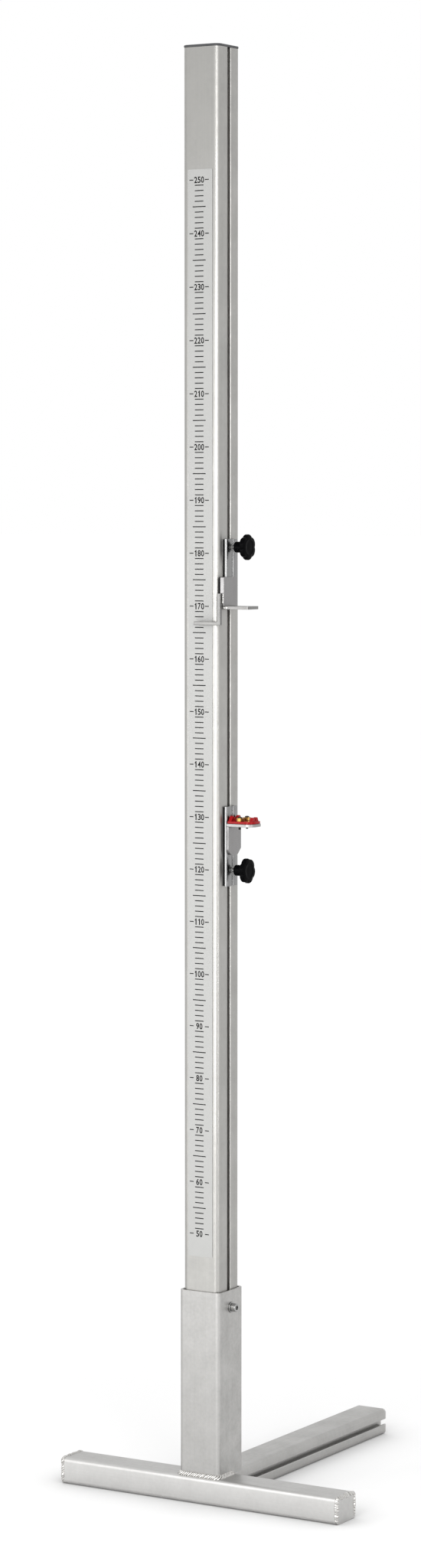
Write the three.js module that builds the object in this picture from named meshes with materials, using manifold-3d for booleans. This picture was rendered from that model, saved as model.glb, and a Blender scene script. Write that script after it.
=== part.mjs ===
// High jump standard: a free-standing aluminium post on a T-shaped welded base.
// A crossbar support and a cord clamp slide in the groove down the side of the post,
// and each is locked by a star knob: its stud presses on the floor of the groove, which pulls
// the slider's groove bar against the back of the groove's lips.
//
// Millimetres. +Z is up and the floor is Z = 0. The origin is on the floor below the post's axis.
// +X points the way the supports reach out, and the numbered scale faces -Y.

import * as THREE from 'three';
import { mergeVertices } from 'three/addons/utils/BufferGeometryUtils.js';
import Module from 'manifold-3d';

const wasm = await Module();
wasm.setup();

// Clearances and drawing quality
const SEAT_GAP = 0.3;
const CUT_OVERRUN = 1.5;
const CORNER_STEPS = 5;
const ROUND_STEPS = 24;
const SMALL_ROUND_STEPS = 16;

// Post: square extrusion with rounded corners and one undercut groove
const POST = {
  width: 80,
  radius: 12,
  wall: 3,
  length: 2717.4,
};

// Groove of the post: a narrow mouth between two lips, with a wide chamber behind
const POST_GROOVE = {
  mouth: 11,
  lip: 3.5,
  chamberWidth: 22,
  chamberDepth: 9.5,
  chamberWall: 3,
};

// Cap on the post: thin flange with a hollow plug that goes down inside
const CAP = {
  overhang: 1,
  thickness: 4.2,
  edgeRadius: 1.5,
  plugDepth: 18,
  plugWall: 4,
  plugClearance: 0.5,
};

// Measuring film on the front of the post. The scale's zero is above the floor
const FILM = {
  width: 54,
  thickness: 0.4,
  cornerRadius: 2,
  zeroHeight: 22,
  firstReading: 456,
  lastReading: 2520,
};

// Floor tubes: the cross bar and the rear leg share one outer section
const FLOOR_TUBE = {
  depth: 70,
  height: 52,
  radius: 8,
  wall: 4,
};

const CROSS_BAR = {
  length: 620,
  forwardOffset: 20,
  endPlate: 4,
};

const REAR_LEG = {
  length: 623,
  endPlate: 4,
};

const LEG_GROOVE = {
  mouth: 10,
  lip: 3.5,
  chamberWidth: 18,
  chamberDepth: 8,
  chamberWall: 3,
};

// Sleeve: square tube welded on the base, the post stands in it
const SLEEVE = {
  wall: 4.4,
  postClearance: 0.6,
  radius: 9,
  length: 359,
};

// Clamp bolt near the top of the sleeve: socket head cap screw, washer and groove nut
const CLAMP = {
  belowSleeveTop: 33.5,
  boltRadius: 5,
  headRadius: 8,
  headLength: 10,
  headEdge: 0.8,
  socketAcrossFlats: 8,
  socketDepth: 5,
  washerRadius: 10.5,
  washerThickness: 2,
};

// Weld beads: ripples of overlapping drops along each seam
const BEAD = {
  frontSize: 7.5,
  sideSize: 5,
  legSize: 5,
  seamSize: 4.1,
  seamHeight: 1.9,
  pitch: 5.4,
  rippleShare: 0.16,
  leanShare: 0.45,
  endShare: 0.55,
  archSteps: 3,
  rollSides: 8,
  stepsPerRipple: 2,
};

// Slider: extruded plate with a shallow middle groove, on a plastic glide liner
const RAIL = {
  width: 42,
  thickness: 3.7,
  edgeRadius: 0.9,
  grooveWidth: 6,
  grooveDepth: 1.9,
};

const LINER = {
  thickness: 3,
  endInset: 1,
  tongueDepth: 3,
  tongueClearance: 0.35,
};

// Bar or nut in the chamber of the post's groove
const GROOVE_BAR = {
  endInset: 8,
  nutLength: 26,
  thickness: 6,
  sideClearance: 0.9,
};

// Countersunk screws that hold a slider's plate, liner and groove bar together
const BAR_SCREW = {
  radius: 2.5,
  headRadius: 4.6,
  headDepth: 2.2,
  sunk: 0.2,
};

// Star knob on a steel stud, and the flanged thread bush that the stud turns in
const STUD_RADIUS = 3;
const BORE_CLEARANCE = 0.35;

const KNOB = {
  lobes: 6,
  stepsPerLobe: 8,
  lobeRadius: 24.4,
  valleyRadius: 20.4,
  headThickness: 9.6,
  edgeRadius: 2.8,
  crown: 2,
  hubRadius: 10.5,
  hubLength: 20.6,
  hubEdge: 2.6,
  standOff: 6.9,
  insertRadius: 5.4,
  insertDepth: 20,
};

const BUSH = {
  flangeRadius: 6.3,
  flangeThickness: 1.6,
  barrelRadius: 4.4,
};

// Upper slider: carries the crossbar
const UPPER = {
  restTopHeight: 1723,
  railLength: 132,
  knobAboveRest: 110.5,
  knobTurn: 30,
  restReach: 60.5,
  restWidth: 40,
  restThickness: 6,
  restCorner: 1.5,
  seatDepth: 0.6,
  bracketWidth: 50,
  bracketThickness: 8,
  bracketHeight: 55,
  bracketFrontOffset: 46,
  bracketCorner: 1.2,
  padThickness: 2.4,
  padInset: 0.5,
  screwShares: [0.22, 0.78],
};

const POINTER = {
  barDepth: 6.5,
  barWidth: 8,
  bendRadius: 2.2,
  topAboveRest: 24,
  armBelowRest: 36,
  tipFromAxis: 6,
  standAhead: 4.3,
  cornerRadius: 0.8,
};

// Lower slider: carries the cord clamp on a shelf
const LOWER = {
  shelfTopHeight: 1310,
  railLength: 152,
  railAboveShelf: 32,
  knobBelowShelf: 90,
  knobTurn: 46,
  shelfReach: 56,
  shelfWidth: 46,
  shelfThickness: 5.5,
  shelfCorner: 17,
  tongueThickness: 5.2,
  tongueStraight: 42.7,
  tongueTaper: 11.5,
  tongueTipWidth: 22,
  screwShares: [0.2, 0.85],
};

// Cord clamp: red moulded body with a fairlead at each end, two toothed cams on pivot screws
const CLEAT = {
  inset: 1.2,
  baseThickness: 4.5,
  cornerRadius: 15.8,
  pivotSpacing: 27,
  pivotFromRail: 24,
  channelFloor: 1.4,
  edgeRadius: 0.8,
};

const INNER_FAIRLEAD = {
  fromEdge: 1.2,
  thickness: 6.6,
  height: 9.7,
  span: 41,
  peakFromAxis: 12,
  peakWidth: 4,
  channel: 8,
};

const OUTER_FAIRLEAD = {
  fromEdge: 4.2,
  thickness: 7,
  height: 7.6,
  span: 24,
  peakFromAxis: 6.2,
  peakWidth: 4,
  channel: 6.4,
};

const CAM = {
  thickness: 6,
  gripRadius: 11.2,
  growthPerTurn: 20,
  gripStartAngle: 25,
  gripEndAngle: 126,
  backRadius: 6.9,
  backStartAngle: 205,
  backEndAngle: 320,
  backSteps: 8,
  toothDepth: 0.7,
  teeth: 9,
  pocketRadius: 5.5,
  pocketDepth: 3,
};

const CAM_SPRING = {
  coilRadius: 4.4,
  wireRadius: 0.4,
  turns: 1.75,
  pitch: 1.05,
  stepsPerTurn: 8,
  wireSides: 5,
};

const PIVOT_SCREW = {
  radius: 2.5,
  headRadius: 4.2,
  headHeight: 2.4,
  slotWidth: 1.1,
  slotDepth: 0.9,
  pointBelowShelf: 5.4,
};

// Finishes
const finish = {
  aluminium: new THREE.MeshStandardMaterial({ color: 0xc4c3c0, roughness: 0.42, metalness: 0.9 }),
  castSkin: new THREE.MeshStandardMaterial({ color: 0xcfcecb, roughness: 0.5, metalness: 0.85 }),
  film: new THREE.MeshStandardMaterial({ color: 0xdedddb, roughness: 0.5, metalness: 0.1 }),
  darkPlastic: new THREE.MeshStandardMaterial({ color: 0x3b3c3e, roughness: 0.5, metalness: 0 }),
  blackPlastic: new THREE.MeshStandardMaterial({ color: 0x0d0d0e, roughness: 0.3, metalness: 0 }),
  linerPlastic: new THREE.MeshStandardMaterial({ color: 0x141415, roughness: 0.6, metalness: 0 }),
  steel: new THREE.MeshStandardMaterial({ color: 0xa9a9a8, roughness: 0.35, metalness: 1 }),
  blackSteel: new THREE.MeshStandardMaterial({ color: 0x2a2523, roughness: 0.4, metalness: 0.8 }),
  redPlastic: new THREE.MeshStandardMaterial({ color: 0xb01420, roughness: 0.35, metalness: 0 }),
  brass: new THREE.MeshStandardMaterial({ color: 0xb98f3c, roughness: 0.35, metalness: 1 }),
};

// Places worked out from the sizes above
const postFace = POST.width / 2;
const floorTop = FLOOR_TUBE.height;
const crossBarBack = FLOOR_TUBE.depth / 2 - CROSS_BAR.forwardOffset;
const postFoot = floorTop + SEAT_GAP;
const postTop = postFoot + POST.length;
const sleeveInner = POST.width + 2 * SLEEVE.postClearance;
const sleeveOuter = sleeveInner + 2 * SLEEVE.wall;
const sleeveFoot = floorTop + SEAT_GAP;
const sleeveTop = sleeveFoot + SLEEVE.length;
const linerBack = postFace + SEAT_GAP;
const railBack = linerBack + LINER.thickness + SEAT_GAP;
const railFace = railBack + RAIL.thickness;
const barFace = postFace - POST_GROOVE.lip - SEAT_GAP;
const barBack = barFace - GROOVE_BAR.thickness;
const chamberFloor = postFace - POST_GROOVE.lip - POST_GROOVE.chamberDepth;

// Turns a closed geometry into a solid for cutting and joining
function toSolid(geometry) {
  const bare = geometry.clone();
  bare.deleteAttribute('normal');
  bare.deleteAttribute('uv');
  const merged = mergeVertices(bare);
  const vertProperties = Float32Array.from(merged.attributes.position.array);
  const triVerts = Uint32Array.from(merged.index.array);
  return new wasm.Manifold(new wasm.Mesh({ numProp: 3, vertProperties, triVerts }));
}

function toGeometry(solid) {
  const mesh = solid.getMesh();
  const geometry = new THREE.BufferGeometry();
  geometry.setAttribute('position', new THREE.BufferAttribute(Float32Array.from(mesh.vertProperties), 3));
  geometry.setIndex(new THREE.BufferAttribute(Uint32Array.from(mesh.triVerts), 1));
  geometry.computeVertexNormals();
  return geometry;
}

function cut(geometry, ...tools) {
  let solid = toSolid(geometry);
  for (const tool of tools) solid = solid.subtract(toSolid(tool));
  return toGeometry(solid);
}

function join(geometry, ...others) {
  let solid = toSolid(geometry);
  for (const other of others) solid = solid.add(toSolid(other));
  return toGeometry(solid);
}

function piece(name, geometry, material) {
  const mesh = new THREE.Mesh(geometry, material);
  mesh.name = name;
  return mesh;
}

// Rectangle with four round corners, centred on the shape's origin
function roundedRectangle(width, height, radius) {
  const x = width / 2;
  const y = height / 2;
  const r = Math.min(radius, x, y);
  const shape = new THREE.Shape();
  shape.moveTo(x, -y + r);
  shape.lineTo(x, y - r);
  shape.absarc(x - r, y - r, r, 0, Math.PI / 2, false);
  shape.lineTo(-x + r, y);
  shape.absarc(-x + r, y - r, r, Math.PI / 2, Math.PI, false);
  shape.lineTo(-x, -y + r);
  shape.absarc(-x + r, -y + r, r, Math.PI, 1.5 * Math.PI, false);
  shape.lineTo(x - r, -y);
  shape.absarc(x - r, -y + r, r, 1.5 * Math.PI, 2 * Math.PI, false);
  return shape;
}

// Outer section of a grooved extrusion. The groove opens on the +x side of the shape
function groovedOutline(width, height, radius, groove) {
  const x = width / 2;
  const y = height / 2;
  const lipBack = x - groove.lip;
  const floor = lipBack - groove.chamberDepth;
  const shape = new THREE.Shape();
  shape.moveTo(x, groove.mouth / 2);
  shape.lineTo(x, y - radius);
  shape.absarc(x - radius, y - radius, radius, 0, Math.PI / 2, false);
  shape.lineTo(-x + radius, y);
  shape.absarc(-x + radius, y - radius, radius, Math.PI / 2, Math.PI, false);
  shape.lineTo(-x, -y + radius);
  shape.absarc(-x + radius, -y + radius, radius, Math.PI, 1.5 * Math.PI, false);
  shape.lineTo(x - radius, -y);
  shape.absarc(x - radius, -y + radius, radius, 1.5 * Math.PI, 2 * Math.PI, false);
  shape.lineTo(x, -groove.mouth / 2);
  shape.lineTo(lipBack, -groove.mouth / 2);
  shape.lineTo(lipBack, -groove.chamberWidth / 2);
  shape.lineTo(floor, -groove.chamberWidth / 2);
  shape.lineTo(floor, groove.chamberWidth / 2);
  shape.lineTo(lipBack, groove.chamberWidth / 2);
  shape.lineTo(lipBack, groove.mouth / 2);
  return shape;
}

// Hollow inside a grooved extrusion: it runs round the back of the groove's chamber
function hollowOutline(width, height, radius, wall, groove, inset = 0) {
  const x = width / 2 - wall - inset;
  const y = height / 2 - wall - inset;
  const r = Math.max(radius - wall - inset, groove.chamberWall / 4);
  const ledge = width / 2 - groove.lip - groove.chamberDepth - groove.chamberWall - inset;
  const side = groove.chamberWidth / 2 + groove.chamberWall + inset;
  const path = new THREE.Shape();
  path.moveTo(x, side);
  path.lineTo(x, y - r);
  path.absarc(x - r, y - r, r, 0, Math.PI / 2, false);
  path.lineTo(-x + r, y);
  path.absarc(-x + r, y - r, r, Math.PI / 2, Math.PI, false);
  path.lineTo(-x, -y + r);
  path.absarc(-x + r, -y + r, r, Math.PI, 1.5 * Math.PI, false);
  path.lineTo(x - r, -y);
  path.absarc(x - r, -y + r, r, 1.5 * Math.PI, 2 * Math.PI, false);
  path.lineTo(x, -side);
  path.lineTo(ledge, -side);
  path.lineTo(ledge, side);
  return path;
}

// Extrudes a shape. Along z the shape lies in (x, y), along x in (y, z), along y in (x, z)
function extrude(shape, axis, from, to, bevel = 0, bevelSteps = 2) {
  const geometry = new THREE.ExtrudeGeometry(shape, {
    depth: to - from - 2 * bevel,
    bevelEnabled: bevel > 0,
    bevelThickness: bevel,
    bevelSize: bevel,
    bevelOffset: -bevel,
    bevelSegments: bevelSteps,
    curveSegments: CORNER_STEPS,
  });
  geometry.translate(0, 0, from + bevel);
  if (axis === 'x') {
    geometry.applyMatrix4(new THREE.Matrix4().makeBasis(
      new THREE.Vector3(0, 1, 0), new THREE.Vector3(0, 0, 1), new THREE.Vector3(1, 0, 0)));
  }
  if (axis === 'y') {
    geometry.translate(0, 0, -from - to);
    geometry.applyMatrix4(new THREE.Matrix4().makeBasis(
      new THREE.Vector3(1, 0, 0), new THREE.Vector3(0, 0, 1), new THREE.Vector3(0, -1, 0)));
  }
  return geometry;
}

// Round bar along x, from one place to another
function barAlongX(radius, from, to, steps = ROUND_STEPS) {
  const geometry = new THREE.CylinderGeometry(radius, radius, to - from, steps);
  geometry.rotateZ(-Math.PI / 2);
  geometry.translate((from + to) / 2, 0, 0);
  return geometry;
}

function barAlongZ(radius, from, to, steps = ROUND_STEPS) {
  const geometry = new THREE.CylinderGeometry(radius, radius, to - from, steps);
  geometry.rotateX(Math.PI / 2);
  geometry.translate(0, 0, (from + to) / 2);
  return geometry;
}

// Turned part about the x axis. The profile is a list of [x, radius] that starts and ends at radius 0
function turnedAlongX(profile, steps = ROUND_STEPS) {
  const points = profile.map(([x, radius]) => new THREE.Vector2(radius, x));
  const geometry = new THREE.LatheGeometry(points, steps);
  geometry.rotateZ(-Math.PI / 2);
  return geometry;
}

function turnedAlongZ(profile, steps = ROUND_STEPS) {
  const points = profile.map(([z, radius]) => new THREE.Vector2(radius, z));
  const geometry = new THREE.LatheGeometry(points, steps);
  geometry.rotateX(Math.PI / 2);
  return geometry;
}

function hexagon(acrossFlats) {
  const radius = acrossFlats / Math.sqrt(3);
  const shape = new THREE.Shape();
  for (let i = 0; i < 6; i += 1) {
    const angle = (i * Math.PI) / 3;
    const x = radius * Math.cos(angle);
    const y = radius * Math.sin(angle);
    if (i === 0) shape.moveTo(x, y);
    else shape.lineTo(x, y);
  }
  shape.closePath();
  return shape;
}

// Builds a closed body from rings of points, with a flat fan over each end
function skinRings(rings) {
  const count = rings[0].length;
  const positions = [];
  for (const ring of rings) for (const point of ring) positions.push(point.x, point.y, point.z);
  const index = [];
  for (let i = 0; i < rings.length - 1; i += 1) {
    for (let j = 0; j < count; j += 1) {
      const a = i * count + j;
      const b = i * count + ((j + 1) % count);
      index.push(a, b, a + count, b, b + count, a + count);
    }
  }
  const addEnd = (ringIndex, flip) => {
    const centre = new THREE.Vector3();
    for (const point of rings[ringIndex]) centre.add(point);
    centre.divideScalar(count);
    const hub = positions.length / 3;
    positions.push(centre.x, centre.y, centre.z);
    for (let j = 0; j < count; j += 1) {
      const a = ringIndex * count + j;
      const b = ringIndex * count + ((j + 1) % count);
      if (flip) index.push(hub, a, b);
      else index.push(hub, b, a);
    }
  };
  addEnd(0, false);
  addEnd(rings.length - 1, true);
  const geometry = new THREE.BufferGeometry();
  geometry.setAttribute('position', new THREE.Float32BufferAttribute(positions, 3));
  geometry.setIndex(index);
  return faceOutwards(geometry);
}

// Turns every face round if the body's signed volume is negative
function faceOutwards(geometry) {
  const position = geometry.attributes.position;
  const index = geometry.index.array;
  const a = new THREE.Vector3();
  const b = new THREE.Vector3();
  const c = new THREE.Vector3();
  let volume = 0;
  for (let i = 0; i < index.length; i += 3) {
    a.fromBufferAttribute(position, index[i]);
    b.fromBufferAttribute(position, index[i + 1]);
    c.fromBufferAttribute(position, index[i + 2]);
    volume += a.dot(b.cross(c));
  }
  if (volume < 0) {
    for (let i = 0; i < index.length; i += 3) {
      const swap = index[i];
      index[i] = index[i + 1];
      index[i + 1] = swap;
    }
  }
  geometry.computeVertexNormals();
  return geometry;
}

// Size of the ripple at one place of a bead. It leans along the seam, so the drops look like crescents
function rippleSize(run, length, lean) {
  const endTaper = Math.min(1, BEAD.endShare + Math.min(run, length - run) / BEAD.pitch);
  const ripple = Math.abs(Math.sin(Math.PI * (run / BEAD.pitch + BEAD.leanShare * lean)));
  return endTaper * (1 - BEAD.rippleShare * (1 - ripple));
}

// Sweeps a part of a turn along stations. Each holds a place, two directions, a run and a size
function sweepBead(stations, height, sweep, steps, closed) {
  const length = stations[stations.length - 1].run;
  const last = closed ? steps - 1 : steps;
  const rings = stations.map(({ place, across, up, run, size }) => {
    const ring = [];
    for (let k = 0; k <= last; k += 1) {
      const angle = (sweep * k) / steps;
      const swell = rippleSize(run, length, Math.sin(angle));
      ring.push(place.clone()
        .addScaledVector(across, size * swell * Math.cos(angle))
        .addScaledVector(up, (height ?? size) * swell * Math.sin(angle)));
    }
    return ring;
  });
  return skinRings(rings);
}

// Low arch over a flat seam
function archBead(stations, height) {
  return sweepBead(stations, height, Math.PI, BEAD.archSteps, false);
}

// Round bead in an inner corner, cut back to clear the walls that it joins
function cornerBead(stations, ...walls) {
  return cut(sweepBead(stations, undefined, 2 * Math.PI, BEAD.rollSides, true), ...walls);
}

// Stations along a straight seam
function straightSeam(start, end, across, up, size) {
  const length = start.distanceTo(end);
  const steps = Math.max(2, Math.round((length / BEAD.pitch) * BEAD.stepsPerRipple));
  const stations = [];
  for (let i = 0; i <= steps; i += 1) {
    stations.push({
      place: start.clone().lerp(end, i / steps),
      across: across.clone(),
      up: up.clone(),
      run: (length * i) / steps,
      size,
    });
  }
  return stations;
}

// Stations round three sides of the sleeve's foot: down the left side, along the front, up the right
function sleeveFootSeam(sideEnd) {
  const flat = sleeveOuter / 2 - SLEEVE.radius;
  const sideRun = sideEnd + flat;
  const arcRun = (SLEEVE.radius * Math.PI) / 2;
  const frontRun = 2 * flat;
  const total = 2 * sideRun + 2 * arcRun + frontRun;
  const steps = Math.round((total / BEAD.pitch) * BEAD.stepsPerRipple);
  const stations = [];
  for (let i = 0; i <= steps; i += 1) {
    const run = (total * i) / steps;
    const fromMiddle = run - total / 2;
    const side = Math.sign(fromMiddle) || 1;
    const past = Math.abs(fromMiddle) - frontRun / 2;
    const turn = Math.min(Math.max(past / arcRun, 0), 1);
    const angle = (turn * Math.PI) / 2;
    const out = new THREE.Vector3(side * Math.sin(angle), -Math.cos(angle), 0);
    const corner = new THREE.Vector3(side * flat, -flat, floorTop);
    const place = corner.addScaledVector(out, SLEEVE.radius);
    if (past < 0) place.x = fromMiddle;
    if (past > arcRun) place.y += past - arcRun;
    stations.push({
      place,
      across: out,
      up: new THREE.Vector3(0, 0, 1),
      run,
      size: BEAD.frontSize + turn * (BEAD.sideSize - BEAD.frontSize),
    });
  }
  return stations;
}

// Stations up one side of a floor tube, over its top and down the other side, at one x
function overTubeSeam(x, centreY, clearance) {
  const halfDepth = FLOOR_TUBE.depth / 2;
  const radius = FLOOR_TUBE.radius;
  const startHeight = radius;
  const sideRun = FLOOR_TUBE.height - radius - startHeight;
  const arcRun = (radius * Math.PI) / 2;
  const topRun = FLOOR_TUBE.depth - 2 * radius;
  const total = 2 * sideRun + 2 * arcRun + topRun;
  const steps = Math.round((total / BEAD.pitch) * BEAD.stepsPerRipple);
  const stations = [];
  for (let i = 0; i <= steps; i += 1) {
    const run = (total * i) / steps;
    let y = -halfDepth;
    let z = startHeight + run;
    let angle = Math.PI;
    if (run > sideRun) {
      const past = run - sideRun;
      angle = Math.PI - Math.min(past / radius, Math.PI / 2);
      y = -halfDepth + radius + radius * Math.cos(angle);
      z = FLOOR_TUBE.height - radius + radius * Math.sin(angle);
      if (past > arcRun) y = -halfDepth + radius + Math.min(past - arcRun, topRun);
      if (past > arcRun + topRun) {
        const last = past - arcRun - topRun;
        angle = Math.PI / 2 - Math.min(last / radius, Math.PI / 2);
        y = halfDepth - radius + radius * Math.cos(angle);
        z = FLOOR_TUBE.height - radius + radius * Math.sin(angle);
        if (last > arcRun) z -= last - arcRun;
      }
    }
    const up = new THREE.Vector3(0, Math.cos(angle), Math.sin(angle));
    stations.push({
      place: new THREE.Vector3(x, centreY + y, z).addScaledVector(up, clearance),
      across: new THREE.Vector3(1, 0, 0),
      up,
      run,
      size: BEAD.seamSize,
    });
  }
  return stations;
}

// Cross bar: tube along x, closed by a welded plate at each end
function buildCrossBar() {
  const group = new THREE.Group();
  group.position.set(0, -CROSS_BAR.forwardOffset, FLOOR_TUBE.height / 2);
  const tubeEnd = CROSS_BAR.length / 2 - CROSS_BAR.endPlate - SEAT_GAP;
  const section = roundedRectangle(FLOOR_TUBE.depth, FLOOR_TUBE.height, FLOOR_TUBE.radius);
  section.holes.push(roundedRectangle(
    FLOOR_TUBE.depth - 2 * FLOOR_TUBE.wall,
    FLOOR_TUBE.height - 2 * FLOOR_TUBE.wall,
    FLOOR_TUBE.radius - FLOOR_TUBE.wall));
  group.add(piece('cross_bar', extrude(section, 'x', -tubeEnd, tubeEnd), finish.aluminium));
  const plateShape = roundedRectangle(FLOOR_TUBE.depth, FLOOR_TUBE.height, FLOOR_TUBE.radius);
  const outer = CROSS_BAR.length / 2;
  const inner = outer - CROSS_BAR.endPlate;
  group.add(piece('cross_bar_end_plate_left', extrude(plateShape, 'x', -outer, -inner), finish.aluminium));
  group.add(piece('cross_bar_end_plate_right', extrude(plateShape, 'x', inner, outer), finish.aluminium));
  return group;
}

// Beads over the seams between the cross bar and its end plates
function buildEndWelds() {
  const group = new THREE.Group();
  const seam = CROSS_BAR.length / 2 - CROSS_BAR.endPlate;
  for (const [side, x] of [['left', -seam], ['right', seam]]) {
    const stations = overTubeSeam(x, -CROSS_BAR.forwardOffset, SEAT_GAP);
    group.add(piece(`cross_bar_end_weld_${side}`, archBead(stations, BEAD.seamHeight), finish.castSkin));
  }
  return group;
}

// Rear leg: grooved extrusion along y, its groove in the +x side, closed by a plate of the same outline
function buildRearLeg() {
  const group = new THREE.Group();
  group.position.set(0, crossBarBack, FLOOR_TUBE.height / 2);
  const section = groovedOutline(FLOOR_TUBE.depth, FLOOR_TUBE.height, FLOOR_TUBE.radius, LEG_GROOVE);
  section.holes.push(hollowOutline(
    FLOOR_TUBE.depth, FLOOR_TUBE.height, FLOOR_TUBE.radius, FLOOR_TUBE.wall, LEG_GROOVE));
  const tubeEnd = REAR_LEG.length - REAR_LEG.endPlate - SEAT_GAP;
  group.add(piece('rear_leg', extrude(section, 'y', SEAT_GAP, tubeEnd), finish.aluminium));
  const plateShape = groovedOutline(FLOOR_TUBE.depth, FLOOR_TUBE.height, FLOOR_TUBE.radius, LEG_GROOVE);
  group.add(piece('rear_leg_end_plate',
    extrude(plateShape, 'y', tubeEnd + SEAT_GAP, REAR_LEG.length), finish.aluminium));
  return group;
}

// Outline of a floor tube or of the sleeve, grown by the seat gap, as a cutter for the weld beads
function grownTube(axis, from, to) {
  const grow = 2 * SEAT_GAP;
  const shape = roundedRectangle(FLOOR_TUBE.depth + grow, FLOOR_TUBE.height + grow,
    FLOOR_TUBE.radius + SEAT_GAP);
  return extrude(shape, axis, from, to);
}

function grownCrossBar() {
  const half = CROSS_BAR.length / 2;
  return grownTube('x', -half, half).translate(0, -CROSS_BAR.forwardOffset, FLOOR_TUBE.height / 2);
}

function grownLeg() {
  return grownTube('y', crossBarBack, REAR_LEG.length).translate(0, 0, FLOOR_TUBE.height / 2);
}

function grownSleeve() {
  const width = sleeveOuter + 2 * SEAT_GAP;
  return extrude(roundedRectangle(width, width, SLEEVE.radius + SEAT_GAP), 'z', 0, sleeveTop);
}

// Upright beads in the two corners between the rear leg and the cross bar
function buildLegWelds() {
  const group = new THREE.Group();
  const bottom = FLOOR_TUBE.radius;
  const top = FLOOR_TUBE.height - FLOOR_TUBE.radius;
  for (const [side, sign] of [['left', -1], ['right', 1]]) {
    const x = (sign * FLOOR_TUBE.depth) / 2;
    const stations = straightSeam(
      new THREE.Vector3(x, crossBarBack, bottom),
      new THREE.Vector3(x, crossBarBack, top),
      new THREE.Vector3(sign, 0, 0),
      new THREE.Vector3(0, 1, 0),
      BEAD.legSize);
    group.add(piece(`leg_weld_${side}`,
      cornerBead(stations, grownLeg(), grownCrossBar()), finish.castSkin));
  }
  return group;
}

// Sleeve: square tube with a bolt hole near the top of its +x wall
function buildSleeve() {
  const section = roundedRectangle(sleeveOuter, sleeveOuter, SLEEVE.radius);
  section.holes.push(roundedRectangle(sleeveInner, sleeveInner, SLEEVE.radius - SLEEVE.wall));
  const tube = extrude(section, 'z', sleeveFoot, sleeveTop);
  const hole = barAlongX(CLAMP.boltRadius + BORE_CLEARANCE, sleeveInner / 2 - CUT_OVERRUN,
    sleeveOuter / 2 + CUT_OVERRUN, SMALL_ROUND_STEPS);
  hole.translate(0, 0, sleeveTop - CLAMP.belowSleeveTop);
  return piece('sleeve', cut(tube, hole), finish.aluminium);
}

// Rippled beads round the foot of the sleeve: one round three sides, one on the rear leg
function buildSleeveWelds() {
  const group = new THREE.Group();
  const sideEnd = crossBarBack - FLOOR_TUBE.radius;
  group.add(piece('sleeve_weld_front',
    cornerBead(sleeveFootSeam(sideEnd), grownSleeve(), grownCrossBar()), finish.castSkin));
  const reach = Math.min(FLOOR_TUBE.depth / 2 - FLOOR_TUBE.radius, sleeveOuter / 2 - SLEEVE.radius);
  const rear = straightSeam(
    new THREE.Vector3(-reach, sleeveOuter / 2, floorTop),
    new THREE.Vector3(reach, sleeveOuter / 2, floorTop),
    new THREE.Vector3(0, 1, 0),
    new THREE.Vector3(0, 0, 1),
    BEAD.sideSize);
  group.add(piece('sleeve_weld_rear', cornerBead(rear, grownSleeve(), grownLeg()), finish.castSkin));
  return group;
}

// Block that slides in the chamber of the post's groove, centred on its length. Its holes are
// cut along x by cutters that are placed in the same frame
function grooveBlock(length, ...cutters) {
  const width = POST_GROOVE.chamberWidth - 2 * GROOVE_BAR.sideClearance;
  const block = new THREE.BoxGeometry(GROOVE_BAR.thickness, width, length);
  block.translate((barFace + barBack) / 2, 0, 0);
  return cut(block, ...cutters);
}

// Cutter for a round hole along x, at one height
function holeAlongX(radius, from, to, height = 0) {
  const hole = barAlongX(radius + BORE_CLEARANCE, from - CUT_OVERRUN, to + CUT_OVERRUN, SMALL_ROUND_STEPS);
  return hole.translate(0, 0, height);
}

// Clamp bolt: it pulls the groove nut outwards, so the post is held against the sleeve
function buildClamp() {
  const group = new THREE.Group();
  group.position.set(0, 0, sleeveTop - CLAMP.belowSleeveTop);
  const washerBack = sleeveOuter / 2 + SEAT_GAP;
  const headBack = washerBack + CLAMP.washerThickness + SEAT_GAP;
  const headFront = headBack + CLAMP.headLength;
  const shankEnd = barBack - CLAMP.headEdge;
  const body = turnedAlongX([
    [shankEnd, 0],
    [shankEnd, CLAMP.boltRadius - CLAMP.headEdge],
    [shankEnd + CLAMP.headEdge, CLAMP.boltRadius],
    [headBack, CLAMP.boltRadius],
    [headBack, CLAMP.headRadius],
    [headFront - CLAMP.headEdge, CLAMP.headRadius],
    [headFront, CLAMP.headRadius - CLAMP.headEdge],
    [headFront, 0],
  ]);
  const socket = extrude(hexagon(CLAMP.socketAcrossFlats), 'x',
    headFront - CLAMP.socketDepth, headFront + CUT_OVERRUN);
  group.add(piece('clamp_bolt', cut(body, socket), finish.steel));
  const disc = barAlongX(CLAMP.washerRadius, washerBack, washerBack + CLAMP.washerThickness);
  const bore = barAlongX(CLAMP.boltRadius + BORE_CLEARANCE, washerBack - CUT_OVERRUN,
    washerBack + CLAMP.washerThickness + CUT_OVERRUN, SMALL_ROUND_STEPS);
  group.add(piece('clamp_washer', cut(disc, bore), finish.steel));
  group.add(piece('clamp_groove_nut',
    grooveBlock(GROOVE_BAR.nutLength, holeAlongX(CLAMP.boltRadius, barBack, barFace)), finish.steel));
  return group;
}

// Post: grooved square extrusion standing on the cross bar
function buildPost() {
  const section = groovedOutline(POST.width, POST.width, POST.radius, POST_GROOVE);
  section.holes.push(hollowOutline(POST.width, POST.width, POST.radius, POST.wall, POST_GROOVE));
  return piece('upright', extrude(section, 'z', postFoot, postTop), finish.aluminium);
}

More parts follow.
